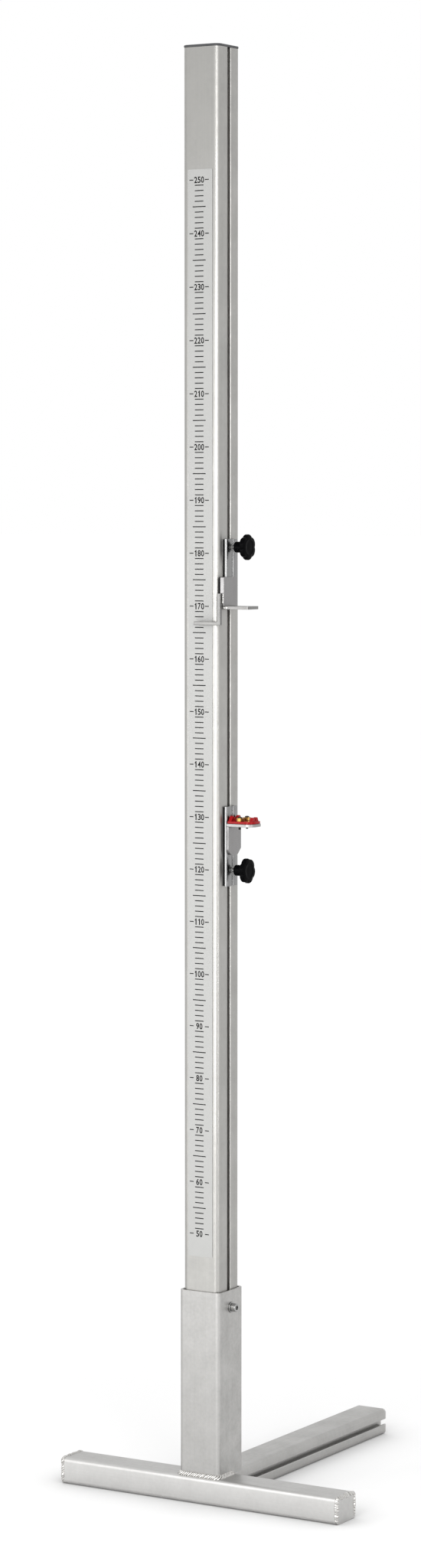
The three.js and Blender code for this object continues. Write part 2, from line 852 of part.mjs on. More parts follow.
// Cap: flange with a rounded edge, and a hollow plug that follows the inside of the post
function buildCap() {
  const group = new THREE.Group();
  group.position.set(0, 0, postTop + SEAT_GAP);
  const flangeWidth = POST.width + 2 * CAP.overhang;
  const flange = extrude(roundedRectangle(flangeWidth, flangeWidth, POST.radius + CAP.overhang),
    'z', 0, CAP.thickness, CAP.edgeRadius);
  const plugOutline = hollowOutline(POST.width, POST.width, POST.radius, POST.wall, POST_GROOVE,
    CAP.plugClearance);
  const pocketOutline = hollowOutline(POST.width, POST.width, POST.radius, POST.wall, POST_GROOVE,
    CAP.plugClearance + CAP.plugWall);
  const plug = extrude(plugOutline, 'z', -CAP.plugDepth, CAP.thickness / 2);
  const pocket = extrude(pocketOutline, 'z', -CAP.plugDepth - CUT_OVERRUN, 0);
  const cap = toGeometry(toSolid(plug).subtract(toSolid(pocket)).add(toSolid(flange)));
  group.add(piece('top_cap', cap, finish.darkPlastic));
  return group;
}

// Film that carries the scale, on the front face of the post
function buildFilm() {
  const height = FILM.lastReading - FILM.firstReading;
  const middle = FILM.zeroHeight + (FILM.lastReading + FILM.firstReading) / 2;
  const back = -postFace - SEAT_GAP;
  const film = piece('measuring_scale',
    extrude(roundedRectangle(FILM.width, height, FILM.cornerRadius), 'y', back - FILM.thickness, back),
    finish.film);
  film.position.z = middle;
  return film;
}

// Outline of a slider's plate: shallow groove down the middle of its face, softened front edges
function railOutline() {
  const half = RAIL.width / 2;
  const r = RAIL.edgeRadius;
  const grooveHalf = RAIL.grooveWidth / 2;
  const shape = new THREE.Shape();
  shape.moveTo(railBack, -half);
  shape.lineTo(railFace - r, -half);
  shape.absarc(railFace - r, -half + r, r, -Math.PI / 2, 0, false);
  shape.lineTo(railFace, -grooveHalf);
  shape.lineTo(railFace - RAIL.grooveDepth, -grooveHalf);
  shape.lineTo(railFace - RAIL.grooveDepth, grooveHalf);
  shape.lineTo(railFace, grooveHalf);
  shape.lineTo(railFace, half - r);
  shape.absarc(railFace - r, half - r, r, 0, Math.PI / 2, false);
  shape.lineTo(railBack, half);
  return shape;
}

// Outline of a glide liner: its tongue runs in the mouth of the post's groove
function linerOutline() {
  const half = RAIL.width / 2;
  const front = linerBack + LINER.thickness;
  const tongueHalf = POST_GROOVE.mouth / 2 - LINER.tongueClearance;
  const tongueEnd = linerBack - Math.min(LINER.tongueDepth, POST_GROOVE.lip - SEAT_GAP);
  const shape = new THREE.Shape();
  shape.moveTo(front, -half);
  shape.lineTo(front, half);
  shape.lineTo(linerBack, half);
  shape.lineTo(linerBack, tongueHalf);
  shape.lineTo(tongueEnd, tongueHalf);
  shape.lineTo(tongueEnd, -tongueHalf);
  shape.lineTo(linerBack, -tongueHalf);
  shape.lineTo(linerBack, -half);
  return shape;
}

// Countersunk screw from the slider's plate into its groove bar. A cutter for it is grown all round
function barScrew(grow) {
  const face = railFace - RAIL.grooveDepth - BAR_SCREW.sunk;
  const shoulder = face - BAR_SCREW.headDepth;
  const shank = BAR_SCREW.radius + grow;
  const head = BAR_SCREW.headRadius + grow;
  const end = grow > 0 ? railFace + CUT_OVERRUN : face;
  return turnedAlongX([
    [barBack - grow, 0],
    [barBack - grow, shank],
    [shoulder, shank],
    [face - grow, head],
    [end, head],
    [end, 0],
  ], SMALL_ROUND_STEPS);
}

// Plate, glide liner, groove bar and screws of one slider. The plate's foot is at the group's z = 0
function buildRunner(side, length, knobHeight, screwHeights) {
  const group = new THREE.Group();
  const linerEnd = linerBack - LINER.tongueDepth;
  const screwCutters = screwHeights.map((height) => barScrew(BORE_CLEARANCE).translate(0, 0, height));
  const bushHole = holeAlongX(BUSH.barrelRadius, linerEnd, railFace, knobHeight);
  const plate = extrude(railOutline(), 'z', 0, length);
  group.add(piece(`${side}_rail`, cut(plate, bushHole, ...screwCutters), finish.aluminium));
  const liner = extrude(linerOutline(), 'z', LINER.endInset, length - LINER.endInset);
  group.add(piece(`${side}_glide_liner`, cut(liner, bushHole, ...screwCutters), finish.linerPlastic));
  const toMiddle = new THREE.Matrix4().makeTranslation(0, 0, -length / 2);
  const barCutters = [holeAlongX(STUD_RADIUS, barBack, barFace, knobHeight), ...screwCutters]
    .map((cutter) => cutter.clone().applyMatrix4(toMiddle));
  const bar = piece(`${side}_groove_bar`,
    grooveBlock(length - 2 * GROOVE_BAR.endInset, ...barCutters), finish.steel);
  bar.position.z = length / 2;
  group.add(bar);
  screwHeights.forEach((height, i) => {
    const screw = piece(`${side}_bar_screw_${i + 1}`, barScrew(0), finish.steel);
    screw.position.z = height;
    group.add(screw);
  });
  return group;
}

// Star knob. Each row gives a place along x, a mean radius and how much of the lobes it has,
// and all rows are joined in one skin. A lobe is wide and round, the valley beside it is narrow
function starKnob() {
  const headBack = KNOB.hubLength;
  const headFront = headBack + KNOB.headThickness;
  const mean = (KNOB.lobeRadius + KNOB.valleyRadius) / 2;
  const swing = (KNOB.lobeRadius - KNOB.valleyRadius) / 2;
  const e = KNOB.edgeRadius;
  const soft = e * (1 - Math.SQRT1_2);
  const hubSoft = KNOB.hubEdge * (1 - Math.SQRT1_2);
  const rows = [
    [0, KNOB.hubRadius - KNOB.hubEdge, 0],
    [hubSoft, KNOB.hubRadius - hubSoft, 0],
    [KNOB.hubEdge, KNOB.hubRadius, 0],
    [headBack - KNOB.hubEdge, KNOB.hubRadius, 0],
    [headBack - hubSoft, KNOB.hubRadius + hubSoft, 0],
    [headBack, KNOB.hubRadius + KNOB.hubEdge, 0],
    [headBack, mean - e, 1],
    [headBack + soft, mean - soft, 1],
    [headBack + e, mean, 1],
    [headFront - e, mean, 1],
    [headFront - soft, mean - soft, 1],
    [headFront, mean - e, 1],
    [headFront + KNOB.crown / 2, mean / 2, 1 / 4],
    [headFront + KNOB.crown, mean / 8, 0],
  ];
  const count = KNOB.lobes * KNOB.stepsPerLobe;
  const rings = rows.map(([x, radius, lobeShare]) => {
    const ring = [];
    for (let i = 0; i < count; i += 1) {
      const angle = (2 * Math.PI * i) / count;
      const lobe = 2 * Math.sqrt(Math.abs(Math.cos((KNOB.lobes * angle) / 2))) - 1;
      const r = radius + swing * lobeShare * lobe;
      ring.push(new THREE.Vector3(x, r * Math.cos(angle), r * Math.sin(angle)));
    }
    return ring;
  });
  const bore = barAlongX(KNOB.insertRadius + BORE_CLEARANCE, -CUT_OVERRUN,
    KNOB.insertDepth + SEAT_GAP, SMALL_ROUND_STEPS);
  return cut(skinRings(rings), bore);
}

// Bush with a flange on the slider's plate. Its barrel goes through the plate and the liner
function threadBush() {
  const barrelEnd = linerBack;
  const flangeBack = railFace + SEAT_GAP;
  const flangeFront = flangeBack + BUSH.flangeThickness;
  const bore = STUD_RADIUS + BORE_CLEARANCE;
  return turnedAlongX([
    [barrelEnd, bore],
    [barrelEnd, BUSH.barrelRadius],
    [flangeBack, BUSH.barrelRadius],
    [flangeBack, BUSH.flangeRadius],
    [flangeFront, BUSH.flangeRadius],
    [flangeFront, bore],
    [barrelEnd, bore],
  ], SMALL_ROUND_STEPS);
}

// Knob, stud and thread bush on one axis, at the height of the group
function buildKnobSet(side, turn) {
  const group = new THREE.Group();
  const hubBack = railFace + KNOB.standOff;
  const tip = STUD_RADIUS / 4;
  const studEnd = chamberFloor + SEAT_GAP;
  const insertBack = hubBack + SEAT_GAP;
  group.add(piece(`${side}_thread_bush`, threadBush(), finish.steel));
  const knob = piece(`${side}_knob`, starKnob(), finish.blackPlastic);
  knob.position.x = hubBack;
  knob.rotation.x = THREE.MathUtils.degToRad(turn);
  group.add(knob);
  const stud = turnedAlongX([
    [studEnd, 0],
    [studEnd, STUD_RADIUS - tip],
    [studEnd + tip, STUD_RADIUS],
    [insertBack, STUD_RADIUS],
    [insertBack, KNOB.insertRadius],
    [hubBack + KNOB.insertDepth, KNOB.insertRadius],
    [hubBack + KNOB.insertDepth, 0],
  ]);
  group.add(piece(`${side}_knob_stud`, stud, finish.steel));
  return group;
}

// Pointer: square bar bent at a right angle. It hangs down beside the bracket,
// and its arm lies across the scale
function buildPointer(backY, bracketBack) {
  const right = bracketBack + POINTER.standAhead;
  const left = right - POINTER.barDepth;
  const top = POINTER.topAboveRest;
  const armBottom = -POINTER.armBelowRest;
  const armTop = armBottom + POINTER.barDepth;
  const tip = -POINTER.tipFromAxis;
  const inner = POINTER.bendRadius;
  const outer = inner + POINTER.barDepth / 4;
  const shape = new THREE.Shape();
  shape.moveTo(right, armBottom + outer);
  shape.lineTo(right, top);
  shape.lineTo(left, top);
  shape.lineTo(left, armTop + inner);
  shape.absarc(left - inner, armTop + inner, inner, 0, -Math.PI / 2, true);
  shape.lineTo(tip, armTop);
  shape.lineTo(tip, armBottom);
  shape.lineTo(right - outer, armBottom);
  shape.absarc(right - outer, armBottom + outer, outer, -Math.PI / 2, 0, false);
  const bar = extrude(shape, 'y', backY - POINTER.barWidth, backY, POINTER.cornerRadius, 1);
  return piece('pointer', bar, finish.aluminium);
}

// Black pad behind the part of the bracket plate that stands out past the rail
function bracketPad(front, bracketBack, foot) {
  const from = front + UPPER.padInset;
  const to = -RAIL.width / 2 - SEAT_GAP;
  const height = UPPER.bracketHeight - 2 * UPPER.padInset;
  const pad = new THREE.BoxGeometry(UPPER.padThickness, to - from, height);
  return pad.translate(bracketBack - SEAT_GAP - UPPER.padThickness / 2, (from + to) / 2,
    foot + UPPER.bracketHeight / 2);
}

// Plate that carries the crossbar. A shallow seat across its top takes the foot of the bracket plate
function restPlate() {
  const shape = roundedRectangle(UPPER.restReach, UPPER.restWidth, UPPER.restCorner);
  const plate = extrude(shape, 'z', -UPPER.restThickness, 0);
  const seatReach = UPPER.bracketThickness + SEAT_GAP;
  const seat = new THREE.BoxGeometry(2 * seatReach, 2 * UPPER.restWidth, 2 * UPPER.seatDepth);
  return cut(plate, seat.translate(-UPPER.restReach / 2, 0, 0));
}

// Upper slider. z = 0 of the group is the top of the crossbar rest
function buildUpperSlider() {
  const group = new THREE.Group();
  group.position.set(0, 0, UPPER.restTopHeight);
  const railFoot = -UPPER.restThickness;
  const screwHeights = UPPER.screwShares.map((share) => share * UPPER.bracketHeight - railFoot);
  const runner = buildRunner('upper', UPPER.railLength, UPPER.knobAboveRest - railFoot, screwHeights);
  runner.position.z = railFoot;
  group.add(runner);

  const front = -UPPER.bracketFrontOffset;
  const bracketBack = railFace + SEAT_GAP;
  const bracketFoot = SEAT_GAP - UPPER.seatDepth;
  const bracketShape = roundedRectangle(UPPER.bracketWidth, UPPER.bracketHeight, UPPER.bracketCorner);
  const bracket = piece('upper_bracket_plate',
    extrude(bracketShape, 'x', bracketBack, bracketBack + UPPER.bracketThickness), finish.aluminium);
  bracket.position.set(0, front + UPPER.bracketWidth / 2, bracketFoot + UPPER.bracketHeight / 2);
  group.add(bracket);
  group.add(piece('bracket_pad', bracketPad(front, bracketBack, bracketFoot), finish.linerPlastic));

  const rest = piece('crossbar_rest', restPlate(), finish.aluminium);
  rest.position.set(bracketBack + UPPER.restReach / 2, front + UPPER.restWidth / 2, 0);
  group.add(rest);

  const pointerBack = front - SEAT_GAP;
  group.add(buildPointer(pointerBack, bracketBack));

  const across = new THREE.Vector3(1, 0, 0);
  const ahead = new THREE.Vector3(0, -1, 0);
  const weldWidth = (UPPER.bracketThickness - POINTER.standAhead - 2 * SEAT_GAP) / 2;
  const weldX = bracketBack + POINTER.standAhead + SEAT_GAP + weldWidth;
  const seam = straightSeam(
    new THREE.Vector3(weldX, pointerBack, SEAT_GAP + BEAD.seamSize),
    new THREE.Vector3(weldX, pointerBack, POINTER.topAboveRest),
    across, ahead, weldWidth);
  group.add(piece('pointer_weld', archBead(seam, 1.5 * BEAD.seamHeight), finish.castSkin));

  const restSeam = straightSeam(
    new THREE.Vector3(weldX, pointerBack, -UPPER.restThickness / 2),
    new THREE.Vector3(weldX + 2 * BEAD.pitch, pointerBack, -UPPER.restThickness / 2),
    new THREE.Vector3(0, 0, 1), ahead, UPPER.restThickness / 2);
  group.add(piece('rest_weld', archBead(restSeam, BEAD.seamHeight), finish.castSkin));

  const knobSet = buildKnobSet('upper', UPPER.knobTurn);
  knobSet.position.z = UPPER.knobAboveRest;
  group.add(knobSet);
  return group;
}

// Plate that hangs from the shelf on the lower slider and narrows towards its foot
function tonguePlate(back) {
  const half = LOWER.shelfWidth / 2;
  const tipHalf = LOWER.tongueTipWidth / 2;
  const top = -LOWER.shelfThickness - SEAT_GAP;
  const shoulder = top - LOWER.tongueStraight;
  const foot = shoulder - LOWER.tongueTaper;
  const shape = new THREE.Shape();
  shape.moveTo(-half, top);
  shape.lineTo(-half, shoulder);
  shape.quadraticCurveTo(-half + LOWER.tongueTaper / 3, foot, -tipHalf, foot);
  shape.lineTo(tipHalf, foot);
  shape.lineTo(half, shoulder);
  shape.lineTo(half, top);
  return extrude(shape, 'x', back, back + LOWER.tongueThickness);
}

// Outline of the shelf in plan: square at the slider, large round corners at the outer end
function shelfOutline(from, to, width, corner) {
  const half = width / 2;
  const r = Math.min(corner, half);
  const shape = new THREE.Shape();
  shape.moveTo(from, -half);
  shape.lineTo(to - r, -half);
  shape.absarc(to - r, -half + r, r, -Math.PI / 2, 0, false);
  shape.lineTo(to, half - r);
  shape.absarc(to - r, half - r, r, 0, Math.PI / 2, false);
  shape.lineTo(from, half);
  return shape;
}

// Fairlead across the clamp body: two horns with a round-bottomed channel between them for the cord
function fairlead(sizes, from, to) {
  const half = sizes.span / 2;
  const peakOut = sizes.peakFromAxis + sizes.peakWidth / 2;
  const peakIn = sizes.peakFromAxis - sizes.peakWidth / 2;
  const channel = sizes.channel / 2;
  const base = CLEAT.baseThickness;
  const sink = base / 2;
  const axis = base + CLEAT.channelFloor + channel;
  const shape = new THREE.Shape();
  shape.moveTo(-half, base - sink);
  shape.lineTo(half, base - sink);
  shape.lineTo(half, base);
  shape.lineTo(peakOut, base + sizes.height);
  shape.lineTo(peakIn, base + sizes.height);
  shape.lineTo(channel, axis);
  shape.absarc(0, axis, channel, 0, Math.PI, true);
  shape.lineTo(-peakIn, base + sizes.height);
  shape.lineTo(-peakOut, base + sizes.height);
  shape.lineTo(-half, base);
  return extrude(shape, 'x', from, to, CLEAT.edgeRadius, 1);
}

// Cam: its gripping edge winds outwards round the pivot, with teeth; the back is a plain round
function camOutline(mirror) {
  const points = [];
  const gripSteps = CAM.teeth * 2;
  for (let i = 0; i <= gripSteps; i += 1) {
    const share = i / gripSteps;
    const degrees = CAM.gripStartAngle + share * (CAM.gripEndAngle - CAM.gripStartAngle);
    const radius = CAM.gripRadius + (CAM.growthPerTurn * (degrees - 90)) / 360
      - (i % 2 === 0 ? CAM.toothDepth : 0);
    points.push([degrees, radius]);
  }
  for (let i = 0; i <= CAM.backSteps; i += 1) {
    const share = i / CAM.backSteps;
    points.push([CAM.backStartAngle + share * (CAM.backEndAngle - CAM.backStartAngle), CAM.backRadius]);
  }
  const shape = new THREE.Shape();
  points.forEach(([degrees, radius], i) => {
    const angle = THREE.MathUtils.degToRad(degrees);
    const x = radius * Math.cos(angle);
    const y = mirror * radius * Math.sin(angle);
    if (i === 0) shape.moveTo(x, y);
    else shape.lineTo(x, y);
  });
  shape.closePath();
  return shape;
}

// One cam on its pivot, with a bore for the screw and a pocket underneath for its spring
function cam(mirror) {
  const block = extrude(camOutline(mirror), 'z', 0, CAM.thickness);
  const bore = barAlongZ(PIVOT_SCREW.radius + BORE_CLEARANCE, -CUT_OVERRUN,
    CAM.thickness + CUT_OVERRUN, SMALL_ROUND_STEPS);
  const pocket = barAlongZ(CAM.pocketRadius, -CUT_OVERRUN, CAM.pocketDepth, SMALL_ROUND_STEPS);
  return cut(block, bore, pocket);
}

// Torsion spring: a helix of round wire about z
function camSpring() {
  const steps = Math.round(CAM_SPRING.turns * CAM_SPRING.stepsPerTurn);
  const rings = [];
  for (let i = 0; i <= steps; i += 1) {
    const angle = (2 * Math.PI * i) / CAM_SPRING.stepsPerTurn;
    const outward = new THREE.Vector3(Math.cos(angle), Math.sin(angle), 0);
    const up = new THREE.Vector3(0, 0, 1);
    const height = CAM_SPRING.wireRadius + (CAM_SPRING.pitch * i) / CAM_SPRING.stepsPerTurn;
    const centre = outward.clone().multiplyScalar(CAM_SPRING.coilRadius).addScaledVector(up, height);
    const ring = [];
    for (let k = 0; k < CAM_SPRING.wireSides; k += 1) {
      const turn = (2 * Math.PI * k) / CAM_SPRING.wireSides;
      ring.push(centre.clone()
        .addScaledVector(outward, CAM_SPRING.wireRadius * Math.cos(turn))
        .addScaledVector(up, CAM_SPRING.wireRadius * Math.sin(turn)));
    }
    rings.push(ring);
  }
  return skinRings(rings);
}

// Pivot screw from its slotted dome head down through the shelf
function pivotScrew(headBottom, point) {
  const r = PIVOT_SCREW.radius;
  const head = PIVOT_SCREW.headRadius;
  const tall = PIVOT_SCREW.headHeight;
  const body = turnedAlongZ([
    [point, 0],
    [point, r],
    [headBottom, r],
    [headBottom, head],
    [headBottom + tall / 3, head],
    [headBottom + (3 * tall) / 4, (3 * head) / 4],
    [headBottom + tall, head / 3],
    [headBottom + tall, 0],
  ], SMALL_ROUND_STEPS);
  const slot = new THREE.BoxGeometry(3 * head, PIVOT_SCREW.slotWidth, 2 * PIVOT_SCREW.slotDepth);
  slot.rotateZ(Math.PI / 5);
  slot.translate(0, 0, headBottom + tall);
  return cut(body, slot);
}

// Lower slider. z = 0 of the group is the top of the shelf
function buildLowerSlider() {
  const group = new THREE.Group();
  group.position.set(0, 0, LOWER.shelfTopHeight);
  const railFoot = LOWER.railAboveShelf - LOWER.railLength;
  const screwHeights = LOWER.screwShares
    .map((share) => -LOWER.shelfThickness - share * LOWER.tongueStraight - railFoot);
  const runner = buildRunner('lower', LOWER.railLength, -LOWER.knobBelowShelf - railFoot, screwHeights);
  runner.position.z = railFoot;
  group.add(runner);

  const plateBack = railFace + SEAT_GAP;
  group.add(piece('lower_tongue_plate', tonguePlate(plateBack), finish.aluminium));

  const shelfEnd = plateBack + LOWER.shelfReach;
  const pivotX = plateBack + CLEAT.pivotFromRail;
  const pivotY = CLEAT.pivotSpacing / 2;
  const holes = (from, to) => [-pivotY, pivotY].map((y) => {
    const hole = barAlongZ(PIVOT_SCREW.radius + BORE_CLEARANCE, from - CUT_OVERRUN, to + CUT_OVERRUN,
      SMALL_ROUND_STEPS);
    return hole.translate(pivotX, y, 0);
  });
  const shelf = extrude(shelfOutline(plateBack, shelfEnd, LOWER.shelfWidth, LOWER.shelfCorner),
    'z', -LOWER.shelfThickness, 0);
  group.add(piece('cleat_shelf', cut(shelf, ...holes(-LOWER.shelfThickness, 0)), finish.aluminium));

  const bodyFrom = plateBack + CLEAT.inset;
  const bodyTo = shelfEnd - CLEAT.inset;
  const bodyWidth = LOWER.shelfWidth - 2 * CLEAT.inset;
  const base = extrude(shelfOutline(bodyFrom, bodyTo, bodyWidth, CLEAT.cornerRadius),
    'z', 0, CLEAT.baseThickness);
  const innerFrom = bodyFrom + INNER_FAIRLEAD.fromEdge;
  const outerTo = bodyTo - OUTER_FAIRLEAD.fromEdge;
  const inner = fairlead(INNER_FAIRLEAD, innerFrom, innerFrom + INNER_FAIRLEAD.thickness);
  const outer = fairlead(OUTER_FAIRLEAD, outerTo - OUTER_FAIRLEAD.thickness, outerTo);
  const moulding = cut(join(base, inner, outer), ...holes(0, CLEAT.baseThickness));
  const body = piece('cleat_body', moulding, finish.redPlastic);
  body.position.z = SEAT_GAP;
  group.add(body);

  const camFoot = SEAT_GAP + CLEAT.baseThickness + SEAT_GAP;
  const headBottom = camFoot + CAM.thickness + SEAT_GAP;
  const point = -LOWER.shelfThickness - PIVOT_SCREW.pointBelowShelf;
  for (const [side, sign] of [['front', -1], ['rear', 1]]) {
    const parts = new THREE.Group();
    parts.position.set(pivotX, sign * pivotY, 0);
    const block = piece(`cleat_cam_${side}`, cam(-sign), finish.brass);
    block.position.z = camFoot;
    const spring = piece(`cam_spring_${side}`, camSpring(), finish.steel);
    spring.position.z = camFoot;
    parts.add(block, spring);
    parts.add(piece(`cleat_screw_${side}`, pivotScrew(headBottom, point), finish.blackSteel));
    group.add(parts);
  }

  const knobSet = buildKnobSet('lower', LOWER.knobTurn);
  knobSet.position.z = -LOWER.knobBelowShelf;
  group.add(knobSet);
  return group;
}

const standard = new THREE.Group();
standard.add(
  buildCrossBar(),
  buildEndWelds(),
  buildRearLeg(),
  buildLegWelds(),
  buildSleeve(),
  buildSleeveWelds(),
  buildClamp(),
  buildPost(),
  buildCap(),
  buildFilm(),
  buildUpperSlider(),
  buildLowerSlider());

export default standard;
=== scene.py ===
"""Looks of a free-standing high jump standard.

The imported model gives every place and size. Each sub-assembly of the standard is a class here: its
methods work out the surfaces of its pieces with numpy and dress them in procedural finishes.
Lengths are in metres. +Z is up, the scale faces -Y, and the supports stand out towards +X.
"""

import logging
import math
from dataclasses import dataclass
from enum import Enum
from functools import cached_property
from typing import Sequence

import bpy
import numpy as np
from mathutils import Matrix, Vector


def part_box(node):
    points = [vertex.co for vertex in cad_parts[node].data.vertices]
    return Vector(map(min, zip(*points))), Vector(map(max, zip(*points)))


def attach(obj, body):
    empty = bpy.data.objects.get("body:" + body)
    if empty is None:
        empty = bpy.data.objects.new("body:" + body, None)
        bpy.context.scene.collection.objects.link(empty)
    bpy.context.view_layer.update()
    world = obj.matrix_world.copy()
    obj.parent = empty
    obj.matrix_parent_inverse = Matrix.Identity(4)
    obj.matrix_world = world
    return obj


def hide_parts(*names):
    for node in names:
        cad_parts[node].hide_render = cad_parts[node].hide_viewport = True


logging.basicConfig(level=logging.INFO, format="%(message)s")
LOG = logging.getLogger("standard")

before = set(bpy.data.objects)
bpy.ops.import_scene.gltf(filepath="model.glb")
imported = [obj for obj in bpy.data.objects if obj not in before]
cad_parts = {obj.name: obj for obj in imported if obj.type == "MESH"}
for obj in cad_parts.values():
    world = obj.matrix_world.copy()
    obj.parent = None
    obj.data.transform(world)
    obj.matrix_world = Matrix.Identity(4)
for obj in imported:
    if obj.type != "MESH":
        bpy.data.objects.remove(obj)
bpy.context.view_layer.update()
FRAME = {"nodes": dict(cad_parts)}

MM = 0.001
GAP = 0.3 * MM
FULL_TURN = 2.0 * math.pi
SHARP_ANGLE = math.radians(32.0)

Array = np.ndarray
Piece = bpy.types.Object
Socket = bpy.types.NodeSocket
Colour = tuple[float, float, float]


class Axis(Enum):
    """Row axis that a piece is drawn or turned along."""

    X = 0
    Y = 1
    Z = 2

    @property
    def others(self) -> list[int]:
        """The indices of the two other axes, in the order x, y, z."""
        return [i for i in range(3) if i != self.value]

    @property
    def unit(self) -> Array:
        """Unit vector along the axis."""
        return np.eye(3)[self.value]


class Body(Enum):
    """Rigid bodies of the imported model."""

    FRAME = "frame"
    SUPPORT = "crossbar_support"
    CLAMP = "cord_clamp"
    UPPER_SCREW = "upper_screw"
    UPPER_KNOB = "upper_knob"
    LOWER_SCREW = "lower_screw"
    LOWER_KNOB = "lower_knob"
    FRONT_CAM = "front_cam"
    REAR_CAM = "rear_cam"


class Slot(Enum):
    """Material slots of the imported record."""

    BASE = "base_aluminium"
    POST = "post_aluminium"
    BRACKET = "bracket_aluminium"
    WELD = "weld_aluminium"
    FILM = "scale_film"
    CAP = "cap_plastic"
    KNOB = "knob_plastic"
    LINER = "liner_plastic"
    STEEL = "steel"
    DARK_STEEL = "dark_steel"
    CLEAT = "cleat_plastic"
    BRASS = "cam_brass"


# Outlines


def arc(centre: tuple[float, float], radius: float, start: float, end: float, steps: int) -> Array:
    """Points of an arc.

    Args:
        centre: centre of the arc.
        radius: its radius.
        start: first angle in degrees.
        end: last angle in degrees.
        steps: number of points.

    Returns:
        (steps, 2) array: centre + radius (cos a, sin a).
    """
    angle = np.radians(np.linspace(start, end, steps))
    return np.asarray(centre) + radius * np.stack([np.cos(angle), np.sin(angle)], axis=1)


def rounded(low: Sequence[float], high: Sequence[float], radius: float, steps: int = 10) -> Array:
    """Rectangle with four round corners, from the lower right corner round to the left.

    Args:
        low: lowest corner.
        high: highest corner.
        radius: radius of each corner.
        steps: points in each corner.

    Returns:
        (4 * steps, 2) array.
    """
    left, right = low[0] + radius, high[0] - radius
    foot, top = low[1] + radius, high[1] - radius
    corners = ((right, foot), (right, top), (left, top), (left, foot))
    return np.concatenate([arc(corner, radius, 90.0 * i - 90.0, 90.0 * i, steps)
                           for i, corner in enumerate(corners)])


def mirrored(points: Array) -> Array:
    """The points, and then in reverse their mirror image across the first axis."""
    return np.concatenate([points, points[::-1] * np.array([1.0, -1.0])])


def outward(walk: Array, middle: Array, half: Array) -> Array:
    """Directions away from a rounded rectangle along its outline.

    Args:
        walk: (n, 2) points of the outline; the first and last lie on its straight sides.
        middle: centre of the rectangle.
        half: half its edge lengths, less the corner radius.

    Returns:
        (n, 2) unit vectors.
    """
    out = walk - middle
    out[[0, -1], 1] = 0.0
    out = out - np.clip(out, -half, half)
    return out / np.linalg.norm(out, axis=1)[:, None]


@dataclass(frozen=True)
class Box:
    """Lowest and highest corner of a CAD node at rest."""

    low: Array
    high: Array

    @classmethod
    def of(cls, node: str) -> "Box":
        """Reads a node's box from the frame."""
        low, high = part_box(node)
        return cls(np.array(low, float), np.array(high, float))

    @property
    def size(self) -> Array:
        """Edge lengths of the box."""
        return self.high - self.low

    @property
    def middle(self) -> Array:
        """Centre of the box."""
        return (self.low + self.high) / 2.0

    def ends(self, axis: Axis) -> tuple[float, float]:
        """Lower and upper end along an axis."""
        return self.low[axis.value], self.high[axis.value]

    def outline(self, axis: Axis, radius: float, steps: int = 10, inset: float = 0.0) -> Array:
        """Rounded rectangle that the box shows along an axis.

        Args:
            axis: the axis across the rectangle.
            radius: radius of its corners.
            steps: points in each corner.
            inset: distance from the sides of the box.

        Returns:
            (4 * steps, 2) array.
        """
        return rounded(self.low[axis.others] + inset, self.high[axis.others] - inset, radius, steps)


@dataclass(frozen=True)
class Groove:
    """Undercut groove in the +x side of an extrusion."""

    mouth: float
    lip: float
    width: float
    depth: float
    wall: float
    edge: float
    edge_steps: int = 6

    def outer_points(self, side: float) -> Array:
        """Outline of the groove from its lower edge to its upper one, with a round edge on each lip.

        Args:
            side: place of the grooved face.

        Returns:
            (2 * (edge_steps + 3), 2) array.
        """
        back, floor, edge = side - self.lip, side - self.lip - self.depth, self.edge
        half_mouth, half = self.mouth / 2.0, self.width / 2.0
        lip = arc((side - edge, -half_mouth - edge), edge, 0.0, 90.0, self.edge_steps)
        return mirrored(np.concatenate([lip, [(back, -half_mouth), (back, -half), (floor, -half)]]))

    def inner_points(self, side: float, wall: float) -> Array:
        """Outline of the hollow behind the groove, with one point beside each point of the groove.

        Args:
            side: place of the grooved face.
            wall: wall of the extrusion.

        Returns:
            (2 * (edge_steps + 3), 2) array.
        """
        count, half = self.edge_steps + 3, self.width / 2.0 + self.wall
        ledge = side - self.lip - self.depth - self.wall
        return mirrored(np.stack([np.linspace(side - wall, ledge, count), np.full(count, -half)], axis=1))

    def walls(self, box: Box, axis: Axis, radius: float, wall: float,
              steps: int = 12) -> tuple[Array, Array]:
        """Outer and inner outline of a hollow extrusion with this groove in its +x side.

        Args:
            box: box of the extrusion.
            axis: axis of the extrusion.
            radius: outer corner radius.
            wall: wall thickness.
            steps: points in each corner.

        Returns:
            Two (n, 2) outlines that belong together point for point.
        """
        side = box.high[0]
        lift = np.array([0.0, box.middle[axis.others[1]]])
        outer = box.outline(axis, radius, steps)
        inner = box.outline(axis, radius - wall, steps, wall)
        return (np.concatenate([outer[:steps], self.outer_points(side) + lift, outer[steps:]]),
                np.concatenate([inner[:steps], self.inner_points(side, wall) + lift, inner[steps:]]))


# Surfaces


